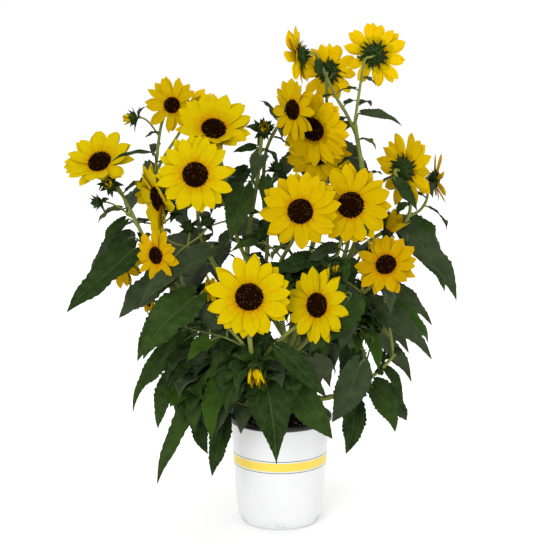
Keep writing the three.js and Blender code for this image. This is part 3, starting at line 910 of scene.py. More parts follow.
@dataclass
class FlowerHeads:
    """All the petals, discs, cups and bracts.

    `zones` are the shares of a petal's length at which its colour changes, `dome` is a disc's height as a
    share of its radius, and `bracts` counts those of each whorl.
    """

    heads: list[Head]
    nodes: set[str]
    zones: tuple[float, ...] = (0.15, 0.26, 0.42)
    florets: int = 150
    dome: float = 0.36
    bracts: tuple[int, ...] = (13, 12, 10, 7)
    seed: int = 23

    def build(self) -> None:
        """Make the petals in two pieces, and the discs, the cups and the bracts."""
        rng = np.random.default_rng(self.seed)
        petal_tints = tuple(tint.value for tint in (Tint.GOLD, Tint.HONEY, Tint.SUN, Tint.LEMON, Tint.PALE))
        upper = Sheaf("petals_upper", petal_tints)
        lower = Sheaf("petals_lower", petal_tints)
        discs = Sheaf("discs", (Tint.DISC.value, Tint.ANTHER.value))
        greens = Sheaf("head_bracts", (Tint.BRACT.value, Tint.CUP.value))
        height = float(np.median([head.at[2] for head in self.heads]))
        sides: dict[str, list[str]] = {"petals_upper": [], "petals_lower": []}
        for head in self.heads:
            sheaf = upper if head.at[2] > height else lower
            axes = Axes.facing(head.at, head.out)
            self.petals(sheaf, head, axes, rng)
            self.disc(discs, head, axes, rng)
            self.green(greens, head, axes, rng)
            if f"head_{head.name}" in self.nodes:
                sides[sheaf.name].append(f"head_{head.name}")
        upper.piece("ray_petal", sides["petals_upper"])
        lower.piece("ray_petal", sides["petals_lower"])
        discs.piece("disc")
        greens.piece("bract")

    def petals(self, sheaf: Sheaf, head: Head, axes: Axes, rng: np.random.Generator) -> None:
        """Grow a head's whorls of petals, the longest behind.

        Args:
            sheaf: Where they go.
            head: The head.
            axes: Its axes.
            rng: The source of their irregularity.
        """
        plan: BloomPlan = head.bloom.value
        start = rng.random() * 2 * math.pi
        foot = plan.disc * 0.86 * head.reach
        for whorl, count in enumerate(plan.whorls):
            for k in range(count):
                azimuth = start + (k + 0.5 * whorl + rng.normal(0, 0.12)) * 2 * math.pi / count
                size = rng.uniform(1 - plan.ragged * 1.6, 1.05) - 0.03 * (whorl == 0)
                hanging = max(-math.sin(azimuth) - 0.55, 0.0) / 0.45 * plan.flop * rng.uniform(0.2, 1.0)
                size -= 0.25 * hanging
                slack = rng.normal(0, plan.ragged * 1.6, 3)
                tongue = Tongue(
                    length=(head.reach - foot) * size * head.spread,
                    width=(head.reach - foot) * plan.width * rng.uniform(0.86, 1.14) * (1 - 0.3 * hanging),
                    pitch=plan.pitch - 0.07 * whorl + slack[0] * 0.6 + hanging,
                    bend=plan.bend + slack[1] + 0.6 * hanging,
                    cup=plan.cup + rng.normal(0, 0.05), groove=0.06, roll=slack[2] * 0.9,
                    sway=rng.normal(0, 0.03 + plan.ragged * 0.3), point=plan.point + rng.normal(0, 0.25),
                    widest=rng.uniform(0.52, 0.68), foot=0.62,
                )
                height = (0.015 - 0.025 * whorl) * head.reach
                points, faces = tongue.mesh(axes, azimuth, foot, height)
                row, column = np.divmod(np.arange(len(faces)), tongue.columns)
                edge = np.abs((column + 0.5) / tongue.columns * 2 - 1)
                place = (row + 0.5) / tongue.rows + 0.1 * edge + rng.normal(0, 0.03)
                zone = np.digitize(place + rng.normal(0, 0.02, len(faces)), self.zones)
                sheaf.add(points, faces, np.asarray(head.glow.value)[zone])

    def disc(self, sheaf: Sheaf, head: Head, axes: Axes, rng: np.random.Generator) -> None:
        """Set the dark dome of florets.

        Args:
            sheaf: Where they go.
            head: The head.
            axes: Its axes.
            rng: The source of their irregularity.
        """
        radius = head.bloom.value.disc * head.reach
        quarter = np.linspace(0, 1, 7) * math.pi / 2
        dome = np.stack([radius * np.cos(quarter), radius * self.dome * np.sin(quarter)], -1)
        sheaf.add(*lathe(axes, dome, 28))
        count = self.florets
        order = np.arange(count)
        out = radius * 0.98 * np.sqrt((order + 0.5) / count)
        turn = order * GOLDEN_ANGLE + rng.random()
        height = radius * self.dome * np.sqrt(np.maximum(1 - (out / radius) ** 2, 0))
        size = radius * 1.05 / math.sqrt(count)
        rise = size * rng.uniform(0.8, 1.6, count) * (1.0 - 0.2 * (out / radius) ** 2)
        ring = np.arange(5) * 2 * math.pi / 5
        plane = axes.across * np.cos(turn)[:, None] + axes.over * np.sin(turn)[:, None]
        foot = axes.at + plane * out[:, None] + axes.out * height[:, None]
        lean = unit(axes.out + plane * (out / radius)[:, None] * 0.5)
        star = np.cos(ring)[:, None] * axes.across + np.sin(ring)[:, None] * axes.over
        low = foot[:, None] + star * size * 0.62 - axes.out * size * 0.3
        high = foot[:, None] + star * size * 0.42 + (lean * rise[:, None])[:, None]
        tip = foot + lean * (rise * 1.25)[:, None]
        points = np.concatenate([low, high, tip[:, None]], 1).reshape(-1, 3)
        after = (np.arange(5) + 1) % 5
        walls = np.stack([np.arange(5), after, after + 5, np.arange(5) + 5], -1)
        caps = np.stack([np.arange(5) + 5, after + 5, np.full(5, 10)], -1)
        base = (order * 11)[:, None, None]
        pale = (rng.random(count) < 0.42 * (out / radius) ** 2 + 0.05).astype(np.int32)
        sheaf.add(points, (walls[None] + base).reshape(-1, 4), 0)
        sheaf.add(points, (caps[None] + base).reshape(-1, 3), np.repeat(pale, 5))

    def green(self, sheaf: Sheaf, head: Head, axes: Axes, rng: np.random.Generator) -> None:
        """Put the cup and its two whorls of pointed bracts behind the petals.

        Args:
            sheaf: Where they go.
            head: The head.
            axes: Its axes.
            rng: The source of their irregularity.
        """
        reach, depth = head.reach, head.cup_depth
        edge = head.bloom.value.disc * 0.98 * reach
        share = np.linspace(0, 1, 8)
        cup = np.stack([0.0025 + (edge - 0.0025) * np.sin(share * math.pi / 2) ** 0.8,
                        -depth + (depth - 0.02 * reach) * share ** 1.6], -1)
        sheaf.add(*lathe(axes, cup, 24), 1)
        for whorl, count in enumerate(self.bracts):
            for k in range(count):
                azimuth = (k + 0.37 * whorl + rng.normal(0, 0.16)) * 2 * math.pi / count
                tongue = Tongue(
                    length=reach * rng.uniform(0.2, 0.3) * (1 - 0.08 * whorl), width=reach * 0.085,
                    pitch=0.35 - 0.3 * whorl + rng.normal(0, 0.14), bend=-0.9 + rng.normal(0, 0.35),
                    cup=0.3, groove=0.1, roll=rng.normal(0, 0.3), sway=rng.normal(0, 0.09), foot=0.8,
                    widest=0.3, point=1.4, rows=6, columns=4,
                )
                radius = edge * (0.86 - 0.21 * whorl)
                height = -depth * (0.36 + 0.2 * whorl)
                sheaf.add(*tongue.mesh(axes, azimuth, radius, height), 0)


# ------------------------------------------------------------------ buds


class BudKind(Enum):
    """How far a bud has opened: the share of its length taken by the closed petals."""

    GREEN = 0.0
    TIPPED = 0.45
    OPENING = 0.95


@dataclass(frozen=True)
class Bud:
    """A bud in millimetres: where it sits, which way it points and how big it is."""

    at: Point
    points: Point
    size: float
    kind: BudKind = BudKind.GREEN


BUDS: tuple[Bud, ...] = (
    Bud((-225, -20, 650), (-1, -0.3, -0.1), 13, BudKind.TIPPED),
    Bud((-25, -14, 632), (0.1, -0.9, 0.5), 15, BudKind.TIPPED),
    Bud((-260, -60, 555), (-0.1, -1, 0.3), 14, BudKind.TIPPED),
    Bud((-280, -50, 525), (-0.8, -0.5, 0), 11),
    Bud((-5, -30, 575), (0, -0.3, 1), 12),
    Bud((-160, -60, 515), (0.2, -0.6, 0.8), 11),
    Bud((-110, -80, 500), (0.1, -0.5, 0.9), 12),
    Bud((-140, -70, 490), (-0.3, -0.8, 0.5), 11),
    Bud((85, -100, 440), (0, -0.5, -0.9), 11, BudKind.TIPPED),
    Bud((-30, -60, 475), (0.1, -0.8, 0.5), 11),
    Bud((95, -80, 415), (0.2, -0.8, 0.3), 11),
    Bud((-36, -212, 307), (0, -0.75, -0.65), 19, BudKind.OPENING),
    Bud((160, -60, 340), (0.3, -0.6, 0.6), 10),
    Bud((130, -60, 350), (0, -0.6, 0.8), 11),
    Bud((160, -55, 282), (-0.2, -0.5, 0.8), 9),
    Bud((155, -60, 262), (0.4, -0.8, -0.4), 8),
    Bud((135, -70, 257), (-0.5, -0.6, -0.5), 8),
    Bud((182, -55, 291), (0.4, -0.4, 0.8), 8),
    Bud((-70, 150, 480), (-0.2, 0.7, 0.7), 12, BudKind.TIPPED),
    Bud((40, 150, 540), (0.3, 0.7, 0.7), 11),
    Bud((180, 110, 470), (0.7, 0.5, 0.6), 12, BudKind.TIPPED),
    Bud((-190, 120, 440), (-0.7, 0.5, 0.6), 11),
    Bud((110, 190, 380), (0.3, 0.9, 0.3), 10),
)


@dataclass
class Buds:
    """The buds, with their scales, closed petals, stalks and the small leaves under them."""

    skeleton: Skeleton
    foliage: "Foliage"
    growth: float = 1.25
    stalk_radius: float = 0.0015
    seed: int = 31

    def build(self) -> None:
        """Make the green of every bud, the petals that show, and the stalks."""
        rng = np.random.default_rng(self.seed)
        greens = Sheaf("bud_bracts", (Tint.BRACT.value, Tint.CUP.value))
        tips = Sheaf("bud_petals", (Tint.HONEY.value, Tint.LEMON.value))
        stalks = Sheaf("bud_stalks", (Tint.STEM.value,))
        for bud in BUDS:
            axes = Axes.facing(mm(bud.at), bud.points)
            self.collar(bud, axes, rng)
            self.scales(greens, bud, axes, rng)
            self.tuft(tips, bud, axes, rng)
            self.stalk(stalks, bud, axes)
        greens.piece("bract")
        tips.piece("ray_petal")
        stalks.piece("stem")

    def collar(self, bud: Bud, axes: Axes, rng: np.random.Generator) -> None:
        """Set three small leaves under a bud.

        Args:
            bud: The bud.
            axes: Its axes.
            rng: The source of their irregularity.
        """
        foot = axes.at - axes.out * bud.size * MM * 0.8
        # The third leaf takes the grey tone, which is partly painted sheen.
        for k, tone in enumerate((LeafTone.DEEP, LeafTone.GREEN, LeafTone.GREY)):
            turn = 2.1 * k + rng.random()
            beside = axes.across * math.cos(turn) + axes.over * math.sin(turn)
            away = unit(beside + axes.out * rng.uniform(-0.3, 0.5))
            length = bud.size * MM * rng.uniform(1.3, 2.1)
            self.foliage.add(Leaf(
                foot, foot + away * length, length * rng.uniform(0.3, 0.45), unit(axes.out + UP * 0.4), tone,
                curl=rng.uniform(0, 0.2), rows=10, columns=6,
            ), foot - axes.out * 0.002)

    def scales(self, sheaf: Sheaf, bud: Bud, axes: Axes, rng: np.random.Generator) -> None:
        """Wrap the bud in pointed scales, the outer ones spread.

        Args:
            sheaf: Where they go.
            bud: The bud.
            axes: Its axes.
            rng: The source of their irregularity.
        """
        size = bud.size * MM * self.growth
        share = np.linspace(0, 1, 7)
        core = np.stack([0.0012 + size * 0.5 * np.sin(share * math.pi) ** 0.8,
                         size * (-0.45 + 0.9 * share)], -1)
        sheaf.add(*lathe(axes, core, 14), 1)
        for whorl, (count, pitch, bend) in enumerate(((8, 0.6, 0.55), (8, 0.95, 0.45), (7, 1.2, 0.5))):
            for k in range(count):
                tongue = Tongue(
                    length=size * rng.uniform(0.7, 1.0) * (1.08 - 0.12 * whorl), width=size * 0.42,
                    pitch=pitch + rng.normal(0, 0.15), bend=bend - 0.9 * rng.random(), cup=0.3, groove=0.1,
                    sway=rng.normal(0, 0.08), foot=0.8, widest=0.25, point=1.4, rows=6, columns=4,
                )
                azimuth = (k + 0.35 * whorl) * 2 * math.pi / count
                sheaf.add(*tongue.mesh(axes, azimuth, size * (0.34 - 0.03 * whorl),
                                       size * (-0.36 + 0.16 * whorl)), 0)

    def tuft(self, sheaf: Sheaf, bud: Bud, axes: Axes, rng: np.random.Generator) -> None:
        """Let the closed petals show, unless the bud is still green.

        Args:
            sheaf: Where they go.
            bud: The bud.
            axes: Its axes.
            rng: The source of their irregularity.
        """
        if bud.kind is BudKind.GREEN:
            return
        size = bud.size * MM * self.growth
        for k in range(14):
            tongue = Tongue(
                length=size * (0.55 + bud.kind.value * rng.uniform(0.6, 1)), width=size * 0.3,
                pitch=1.25 + rng.normal(0, 0.1), bend=0.45 + rng.normal(0, 0.15), cup=0.4, groove=0.15,
                sway=rng.normal(0, 0.1), point=2, rows=7, columns=4,
            )
            radius = size * (0.34 if k % 2 else 0.18)
            sheaf.add(*tongue.mesh(axes, k * LEAF_TURN, radius, size * 0.05), k % 2)

    def stalk(self, sheaf: Sheaf, bud: Bud, axes: Axes) -> None:
        """Run the stalk from the nearest stem.

        Args:
            sheaf: Where it goes.
            bud: The bud.
            axes: Its axes.
        """
        size = bud.size * MM * self.growth
        foot = axes.at - axes.out * size * 0.42
        start, radius = self.skeleton.carrier(foot, 0.03)
        path = bent_path(start, foot, axes.out)
        sheaf.add(*tube(path, np.linspace(min(radius, 0.0016), self.stalk_radius, len(path)), sides=7))
        self.skeleton.learn(path, np.full(len(path), self.stalk_radius))


def bent_path(start: np.ndarray, end: np.ndarray, arrive: np.ndarray, rise: float = 0.35) -> np.ndarray:
    """A stalk that leaves upwards and arrives from behind.

    Args:
        start: Where it leaves the stem.
        end: Where it ends.
        arrive: The direction in which it arrives.
        rise: How far it climbs at first, as a share of its length.

    Returns:
        The points along it.
    """
    length = float(np.linalg.norm(end - start))
    leave = unit(end - start) + UP * rise
    one = start + leave * length * 0.33
    two = end - unit(arrive) * length * 0.33
    t = np.linspace(0, 1, max(int(length / 0.006), 5))[:, None]
    return ((1 - t) ** 3 * start + 3 * (1 - t) ** 2 * t * one + 3 * (1 - t) * t ** 2 * two + t ** 3 * end)


# ------------------------------------------------------------------ leaves


class LeafForm(Enum):
    """The outlines of leaves: how slowly they widen from the base and how sharply they narrow to the tip."""

    HEART = (0.32, 1.35)
    OVATE = (0.5, 1.0)


@dataclass
class Leaf:
    """One leaf in metres: the blade from its base to its tip, its width, and how it hangs.

    `arch`, `sway` and `curl` are shares of the length: how far the middle rises, how far it bows
    sideways, and how far the tip turns down. `fold`, `droop` and `teeth` are shares of half the width, and
    `wave`, `pucker` and `lobe`, which is how far the base's lobes reach back, of all of it. `twist` is in
    radians.
    """

    base: np.ndarray
    tip: np.ndarray
    width: float
    faces: np.ndarray
    tone: LeafTone = LeafTone.DEEP
    arch: float = 0.1
    fold: float = 0.42
    droop: float = 0.22
    curl: float = 0.0
    sway: float = 0.0
    wave: float = 0.08
    pucker: float = 0.042
    twist: float = 0.0
    teeth: float = 0.15
    lobe: float = 0.26
    rows: int = 26
    columns: int = 10

    def __post_init__(self) -> None:
        """Work out the blade's own directions and outline."""
        self.base = np.asarray(self.base, float)
        self.tip = np.asarray(self.tip, float)
        run = self.tip - self.base
        self.length = float(np.linalg.norm(run))
        self.along = run / self.length
        self.side = unit(np.cross(self.along, self.faces))
        self.over = np.cross(self.side, self.along)
        form = LeafForm.HEART if self.width > 0.55 * self.length else LeafForm.OVATE
        self.shoulder, self.taper = form.value
        self.phase = float(np.abs(self.base).sum() * 997 % (2 * math.pi))

    def outline(self, t: np.ndarray) -> np.ndarray:
        """Half the width along the leaf: heart-shaped with a drawn-out tip where it's broad.

        Args:
            t: The share of the way from the base to the tip.

        Returns:
            Half the width there.
        """
        peak = self.shoulder / (self.shoulder + self.taper)
        full = (peak + 0.01) ** self.shoulder * (1 - peak) ** self.taper
        return self.width / 2 * (t + 0.01) ** self.shoulder * np.maximum(1 - t, 0) ** self.taper / full

    def at(self, t: np.ndarray, s: np.ndarray, lift: float = 0.0) -> np.ndarray:
        """Points of the blade.

        Args:
            t: The share of the way from the base to the tip.
            s: The place across it, from -1 to 1.
            lift: How far above the surface they lie.

        Returns:
            The points.
        """
        saw = 2 * ((t * self.rows * 0.5 + 0.1) % 1) - 0.5
        jag = 0.65 + 0.45 * np.sin(23 * t + self.phase + 2 * (s > 0))
        half = self.outline(t) * (1 + self.teeth * saw * jag * np.abs(s) ** 5) + self.width * 0.004
        lobe = self.lobe * self.width * np.abs(s) ** 1.6 * (1 - t) ** 5
        tail = np.clip((t - 0.66) / 0.34, 0, 1)
        swell = np.sin(math.pi * t)
        beat = (11 + 3 * np.sin(self.phase)) * t + self.phase + 1.9 * (s > 0)
        height = (4 * self.arch * self.length * t * (1 - t) - self.curl * self.length * tail ** 2
                  + self.fold * half * np.abs(s) - self.droop * half * s ** 2
                  + self.wave * self.width * np.sin(beat) * s ** 2 * swell
                  + self.pucker * self.width * np.sin(17 * t + 3 * s + self.phase) * np.abs(s) * swell
                  + self.pucker * 0.8 * self.width * np.sin(9 * t - 4 * s + 2 * self.phase) * swell
                  - 0.02 * self.width * np.cos(31 * (t - 0.28 * np.abs(s))) * np.abs(s) * (1 - np.abs(s))
                  + lift)
        turn = self.twist * t
        side = np.cos(turn)[..., None] * self.side + np.sin(turn)[..., None] * self.over
        over = np.cos(turn)[..., None] * self.over - np.sin(turn)[..., None] * self.side
        walk = (self.length * t - lobe)[..., None] * self.along
        bow = 4 * self.sway * self.length * t * (1 - t)
        return self.base + walk + (half * s + bow)[..., None] * side + height[..., None] * over


@dataclass
class Foliage:
    """Leaf blades, their pale veins and their stalks, gathered by place.

    The rear piece starts `rear_from` behind the middle, and the front one is `front_half` wide each way.
    `thickness` is a blade's, and `under` is the number of its underside's finish. `midrib` and `side_vein`
    are half the widths of those veins, which stand `vein_lift` off the blade.
    """

    skeleton: Skeleton
    blades: dict[str, Sheaf] = field(default_factory=dict)
    rear_from: float = 0.03
    front_half: float = 0.09
    thickness: float = 0.0005
    midrib: float = 0.0008
    side_vein: float = 0.0003
    vein_lift: float = 0.0007
    under: int = len(LeafTone)

    def __post_init__(self) -> None:
        """Open the joined pieces."""
        tones = tuple(tone.value for tone in LeafTone) + (Tint.LEAF_UNDER.value,)
        for name in ("leaves_front", "leaves_left", "leaves_right", "leaves_rear"):
            self.blades[name] = Sheaf(name, tones)
        self.veins = Sheaf("leaf_veins", (Tint.VEIN.value,))
        self.stalks = Sheaf("leaf_stalks", (Tint.LEAF_STALK.value,))

    def sheaf_for(self, leaf: Leaf) -> Sheaf:
        """The joined piece that a leaf belongs to.

        Args:
            leaf: The leaf.

        Returns:
            The piece for the side of the plant that the leaf's base is on.
        """
        x, y, _ = leaf.base
        if y > self.rear_from:
            return self.blades["leaves_rear"]
        if abs(x) < self.front_half:
            return self.blades["leaves_front"]
        return self.blades["leaves_left" if x < 0 else "leaves_right"]

    def add(self, leaf: Leaf, stalk_from: np.ndarray | None = None) -> None:
        """Grow a leaf, with its stalk from the stem that carries it.

        Args:
            leaf: The leaf.
            stalk_from: Where its stalk starts, or None for the nearest stem.
        """
        sheaf = self.sheaf_for(leaf)
        t, s = np.meshgrid(np.linspace(0, 1, leaf.rows + 1), np.linspace(-1, 1, leaf.columns + 1),
                           indexing="ij")
        tone = list(LeafTone).index(leaf.tone)
        faces = grid_faces(leaf.rows + 1, leaf.columns + 1, flip=True)
        sheaf.add(leaf.at(t, s).reshape(-1, 3), faces, tone)
        sheaf.add(leaf.at(t, s, -self.thickness).reshape(-1, 3), faces[:, [0, 3, 2, 1]], self.under)
        self.vein_strips(leaf)
        if stalk_from is None:
            stalk_from, _ = self.skeleton.carrier(leaf.base)
        path = bent_path(stalk_from, leaf.at(np.array(0.02), np.array(0.0), -0.0004), leaf.along, 0.5)
        thick = 0.0009 + 0.000012 * leaf.width / MM
        self.stalks.add(*tube(path, np.linspace(thick * 1.35, thick, len(path)), sides=6))

    def vein_strips(self, leaf: Leaf) -> None:
        """Lay the midrib and the side veins on a blade.

        Args:
            leaf: The leaf.
        """
        pairs = 4 if leaf.width > 0.03 and leaf.rows > 14 else 2
        lines = [(np.linspace(0.0, 0.97, 12), np.zeros(12), self.midrib)]
        for k in range(pairs):
            for hand in (-1, 1):
                foot = 0.05 + 0.62 * k / pairs + 0.03 * (hand > 0)
                share = np.linspace(0, 1, 5)
                lines.append((foot + 0.2 * share ** 1.3, hand * 0.84 * share ** 0.9, self.side_vein))
        scale = min(leaf.width / 0.045, 1.3)
        for t, s, half in lines:
            taper = half * scale * np.linspace(1, 0.3, len(t))
            middle = leaf.at(t, s, self.vein_lift)
            run = unit(np.gradient(middle, axis=0))
            aside = unit(np.cross(run, leaf.over)) * taper[:, None]
            points = np.stack([middle - aside, middle + aside], 1).reshape(-1, 3)
            self.veins.add(points, grid_faces(len(t), 2))

    def build(self, masses: dict[str, list[str]]) -> None:
        """Make the joined pieces.

        Args:
            masses: The foliage nodes that each piece replaces.
        """
        for name, sheaf in self.blades.items():
            sheaf.piece("leaf", masses[name])
        self.veins.piece("leaf")
        self.stalks.piece("stem")


@dataclass(frozen=True)
class LeafTip:
    """A leaf that a solid ends in, in metres, and the direction in which its upper side looks."""

    base: np.ndarray
    tip: np.ndarray
    width: float
    over: np.ndarray


@dataclass(frozen=True)
class TipReader:
    """Reads from the frame the leaves in which the solid of a mass of foliage ends.

    Most of them end in a sharp point with one ring of corners behind it, and a tip that doesn't is passed
    over. `ring` is that ring's place as a share of the leaf's length, `spread` its share of the leaf's
    width, and `rise` its lift as a share of the length. `sharp` is the most that the face angles round
    such a point add up to, in degrees.
    """

    ring: float = 0.66
    spread: float = 0.72
    rise: float = 0.063
    sharp: float = 150.0
    corners: int = 4

    def leaves(self, mass: str) -> list[LeafTip]:
        """Find a mass's leaves.

        Args:
            mass: The CAD node.

        Returns:
            The leaves.
        """
        points, triangles = node_solid(mass)
        angles = np.zeros(len(points))
        for k in range(3):
            here = points[triangles[:, k]]
            one = unit(points[triangles[:, k - 2]] - here)
            two = unit(points[triangles[:, k - 1]] - here)
            np.add.at(angles, triangles[:, k], np.arccos(np.clip((one * two).sum(-1), -1, 1)))
        found = []
        for point in np.flatnonzero(angles < math.radians(self.sharp)):
            ring = np.setdiff1d(triangles[(triangles == point).any(axis=1)], point)
            if len(ring) == self.corners:
                found.append(self.leaf(points[point], points[ring]))
        return found

    def leaf(self, tip: np.ndarray, ring: np.ndarray) -> LeafTip:
        """Work out a leaf from its point and the ring behind it.

        Args:
            tip: The point.
            ring: The ring's corners.

        Returns:
            The leaf.
        """
        gaps = np.linalg.norm(ring[:, None] - ring[None], axis=-1)
        one, two = np.unravel_index(int(np.argmax(gaps)), gaps.shape)
        middle = (ring[one] + ring[two]) / 2
        over = unit(np.cross(ring[two] - ring[one], tip - middle))
        if over @ (unit(tip * (1, 1, 0)) + UP) < 0:
            over = -over
        back = 1 / (1 - self.ring)
        length = float(np.linalg.norm(tip - middle)) * back
        base = tip + (middle - over * self.rise * length - tip) * back
        return LeafTip(base, tip, float(gaps.max()) / self.spread, over)


# How the tones are dealt out on twigs and boughs, and to the outline's leaves, in LeafTone's order.
TONE_SHARES = (0.4, 0.26, 0.06, 0.1, 0.1, 0.08)
OUTLINE_TONE_SHARES = (0.5, 0.24, 0.0, 0.08, 0.18, 0.0)


def deal_tone(shares: tuple[float, ...], rng: np.random.Generator) -> LeafTone:
    """A leaf's tone, drawn by the tones' shares."""
    return list(LeafTone)[rng.choice(len(shares), p=shares)]


@dataclass(frozen=True)
class Thicket:
    """A stretch of dense leaves, as seen from the front: its middle and half sizes in millimetres."""

    x: float
    z: float
    half_x: float
    half_z: float

    def holds(self, x: np.ndarray, z: np.ndarray) -> np.ndarray:
        """Which places, seen from the front, lie in it."""
        return ((x - self.x) / self.half_x) ** 2 + ((z - self.z) / self.half_z) ** 2 < 1


THICKETS: tuple[Thicket, ...] = (
    Thicket(-95, 303, 105, 80),
    Thicket(5, 305, 105, 95),
    Thicket(95, 330, 62, 80),
    Thicket(-125, 215, 58, 85),
    Thicket(30, 400, 96, 22),
    Thicket(138, 335, 46, 30),
    Thicket(62, 236, 52, 56),
    Thicket(-45, 245, 60, 60),
    Thicket(4, 462, 26, 20),
    Thicket(-140, 485, 30, 16),
)

CLEARINGS: tuple[Thicket, ...] = (
    Thicket(-167, 269, 12, 18),
    Thicket(122, 210, 14, 22),
    Thicket(164, 295, 12, 12),
    Thicket(30, 428, 34, 9),
)


@dataclass
class Shoots:
    """Leaves set by a seeded rule, on twigs that fill the thickets and singly up the boughs.

    `outlook` is the place from which the thickets are marked out, and `low` and `high` are the corners of
    the plant's box. Leaves keep above `lowest`, and outside `pot_reach` of the middle up to `pot_top`. On
    a twig they stand at `places`, shares of its length, and each is shorter by `shrink`. Up the boughs they
    stand `internode` apart above the height `open_from`, and `climbing` is their length there and at the
    plant's top. `breadths` are a blade's half widths along it, as shares of the widest that counts.
    """

    skeleton: Skeleton
    foliage: Foliage
    outlook: np.ndarray
    low: np.ndarray
    high: np.ndarray
    lowest: float = 0.15
    pot_top: float = 0.176
    pot_reach: float = 0.096
    longest_twig: float = 0.16
    tries_per_twig: int = 10
    places: tuple[float, ...] = (0.35, 0.5, 0.66, 0.8, 0.92, 1.0)
    shrink: float = 0.09
    breadths: tuple[float, ...] = (0.6, 1, 1, 0.8, 0.4, 0)
    internode: float = 0.023
    open_from: float = 0.4
    climbing: tuple[float, float] = (0.044, 0.024)
    seed: int = 47

    def fill(self, mass: str, twigs: int, size: tuple[float, float]) -> int:
        """Grow twigs from the nearest stems into a mass of foliage.

        Args:
            mass: The CAD node.
            twigs: How many to grow.
            size: The shortest and the longest blade, in metres.

        Returns:
            How many leaves grew.
        """
        rng = np.random.default_rng([self.seed, sum(map(ord, mass))])
        corners, _ = node_solid(mass)
        middle = corners.mean(0)
        leaves = grown = 0
        for _ in range(twigs * self.tries_per_twig):
            if grown == twigs:
                break
            target = middle + (corners[rng.integers(len(corners))] - middle) * rng.uniform(0.1, 0.95)
            start, radius = self.skeleton.carrier(target, 0.04)
            if not 0.015 < np.linalg.norm(target - start) < self.longest_twig:
                continue
            path = bent_path(start, target, unit(target - start) + UP * 0.3, 0.4)
            borne = self.dress(path, size, rng)
            if borne:
                radii = np.linspace(min(radius, 0.0017), 0.0011, len(path))
                self.foliage.stalks.add(*tube(path, radii, sides=7))
                self.skeleton.learn(path, radii)
                leaves += borne
                grown += 1
        return leaves

    def dress(self, path: np.ndarray, size: tuple[float, float], rng: np.random.Generator) -> int:
        """Set leaves in a spiral along a twig, the largest lowest.

        Args:
            path: The twig.
            size: The shortest and the longest blade, in metres.
            rng: The source of its irregularity.

        Returns:
            How many leaves it bears.
        """
        along, side, over = path_frames(path)
        turn = rng.random() * 2 * math.pi
        borne = 0
        for k, share in enumerate(self.places):
            spot = int(share * (len(path) - 1))
            turn += LEAF_TURN + rng.normal(0, 0.2)
            away = math.cos(turn) * side[spot] + math.sin(turn) * over[spot]
            outward = unit(path[spot] * (1, 1, 0))
            length = rng.uniform(*size) * (1 - self.shrink * k)
            leave = unit(along[spot] * 0.5 + away + outward * 0.5 + UP * 0.2)
            base = path[spot] + leave * length * rng.uniform(0.15, 0.5)
            tip = base + unit(leave * 0.9 + outward * 0.3 - UP * rng.uniform(0.2, 1.7)) * length
            width = length * rng.uniform(0.5, 0.82)
            if not self.free(base, tip, width):
                continue
            tone = deal_tone(TONE_SHARES, rng)
            self.foliage.add(Leaf(
                base, tip, width, unit(outward * 0.6 + away * 0.3 + UP * rng.uniform(0.4, 1.1)), tone,
                arch=rng.uniform(0.03, 0.16), fold=rng.uniform(0.25, 0.6), curl=rng.uniform(0, 0.15),
                sway=rng.normal(0, 0.05), twist=rng.normal(0, 0.4), rows=14, columns=6,
            ), path[spot])
            borne += 1
        return borne

    def within(self, spots: np.ndarray) -> bool:
        """Whether places keep to the plant's box and clear of the pot.

        Args:
            spots: The places, n by 3.

        Returns:
            True where all of them do.
        """
        height = spots[:, 2]
        in_pot = (height < self.pot_top) & (np.linalg.norm(spots[:, :2], axis=1) < self.pot_reach)
        outside = (spots < self.low) | (spots > self.high)
        return not (outside.any() or in_pot.any() or (height < self.lowest).any())

    def climb(self, path: np.ndarray, rng: np.random.Generator) -> int:
        """Set small leaves in a spiral up a bough's open stretch, smaller towards its head.

        Args:
            path: The bough.
            rng: The source of its irregularity.

        Returns:
            How many leaves it bears.
        """
        along, side, over = path_frames(path)
        run = np.concatenate(([0.0], np.cumsum(np.linalg.norm(np.diff(path, axis=0), axis=1))))
        turn = rng.random() * 2 * math.pi
        borne = 0
        for reach in np.arange(self.internode, run[-1] - 0.01, self.internode):
            spot = min(int(np.searchsorted(run, reach + rng.normal(0, 0.004))), len(path) - 1)
            turn += LEAF_TURN + rng.normal(0, 0.25)
            height = path[spot][2]
            if height < self.open_from:
                continue
            away = math.cos(turn) * side[spot] + math.sin(turn) * over[spot]
            length = np.interp(height, (self.open_from, self.high[2]), self.climbing)
            length *= rng.uniform(0.75, 1.2)
            base = path[spot] + unit(away + UP * 0.3) * length * 0.3
            tip = base + unit(away - UP * rng.uniform(-0.2, 0.9)) * length
            if not self.within(np.array((base, tip))):
                continue
            tone = deal_tone(TONE_SHARES, rng)
            self.foliage.add(Leaf(
                base, tip, length * rng.uniform(0.42, 0.62), unit(away * 0.4 + UP - along[spot] * 0.1), tone,
                arch=rng.uniform(0.05, 0.15), curl=rng.uniform(0, 0.15), sway=rng.normal(0, 0.05),
                rows=14, columns=6,
            ), path[spot])
            borne += 1
        return borne

    def free(self, base: np.ndarray, tip: np.ndarray, width: float) -> bool:
        """Whether a leaf keeps to the plant's box, clear of the pot and inside the thickets.

        Args:
            base: The blade's base.
            tip: The blade's tip.
            width: Its width.

        Returns:
            True where it may grow.
        """
        spots = base + (tip - base) * np.linspace(0, 1, len(self.breadths))[:, None]
        if not self.within(spots):
            return False
        share = self.outlook[1] / (self.outlook[1] - spots[:, 1])
        seen = (self.outlook + (spots - self.outlook) * share[:, None]) / MM
        wide = width / MM * 0.35 * np.array(self.breadths)
        inside = [np.any([thicket.holds(seen[:, 0] + shift, seen[:, 2]) for thicket in THICKETS], axis=0)
                  for shift in (-wide, wide)]
        open_sky = [thicket.holds(seen[:, 0], seen[:, 2]) for thicket in CLEARINGS]
        return bool(np.all(inside)) and not np.any(open_sky)


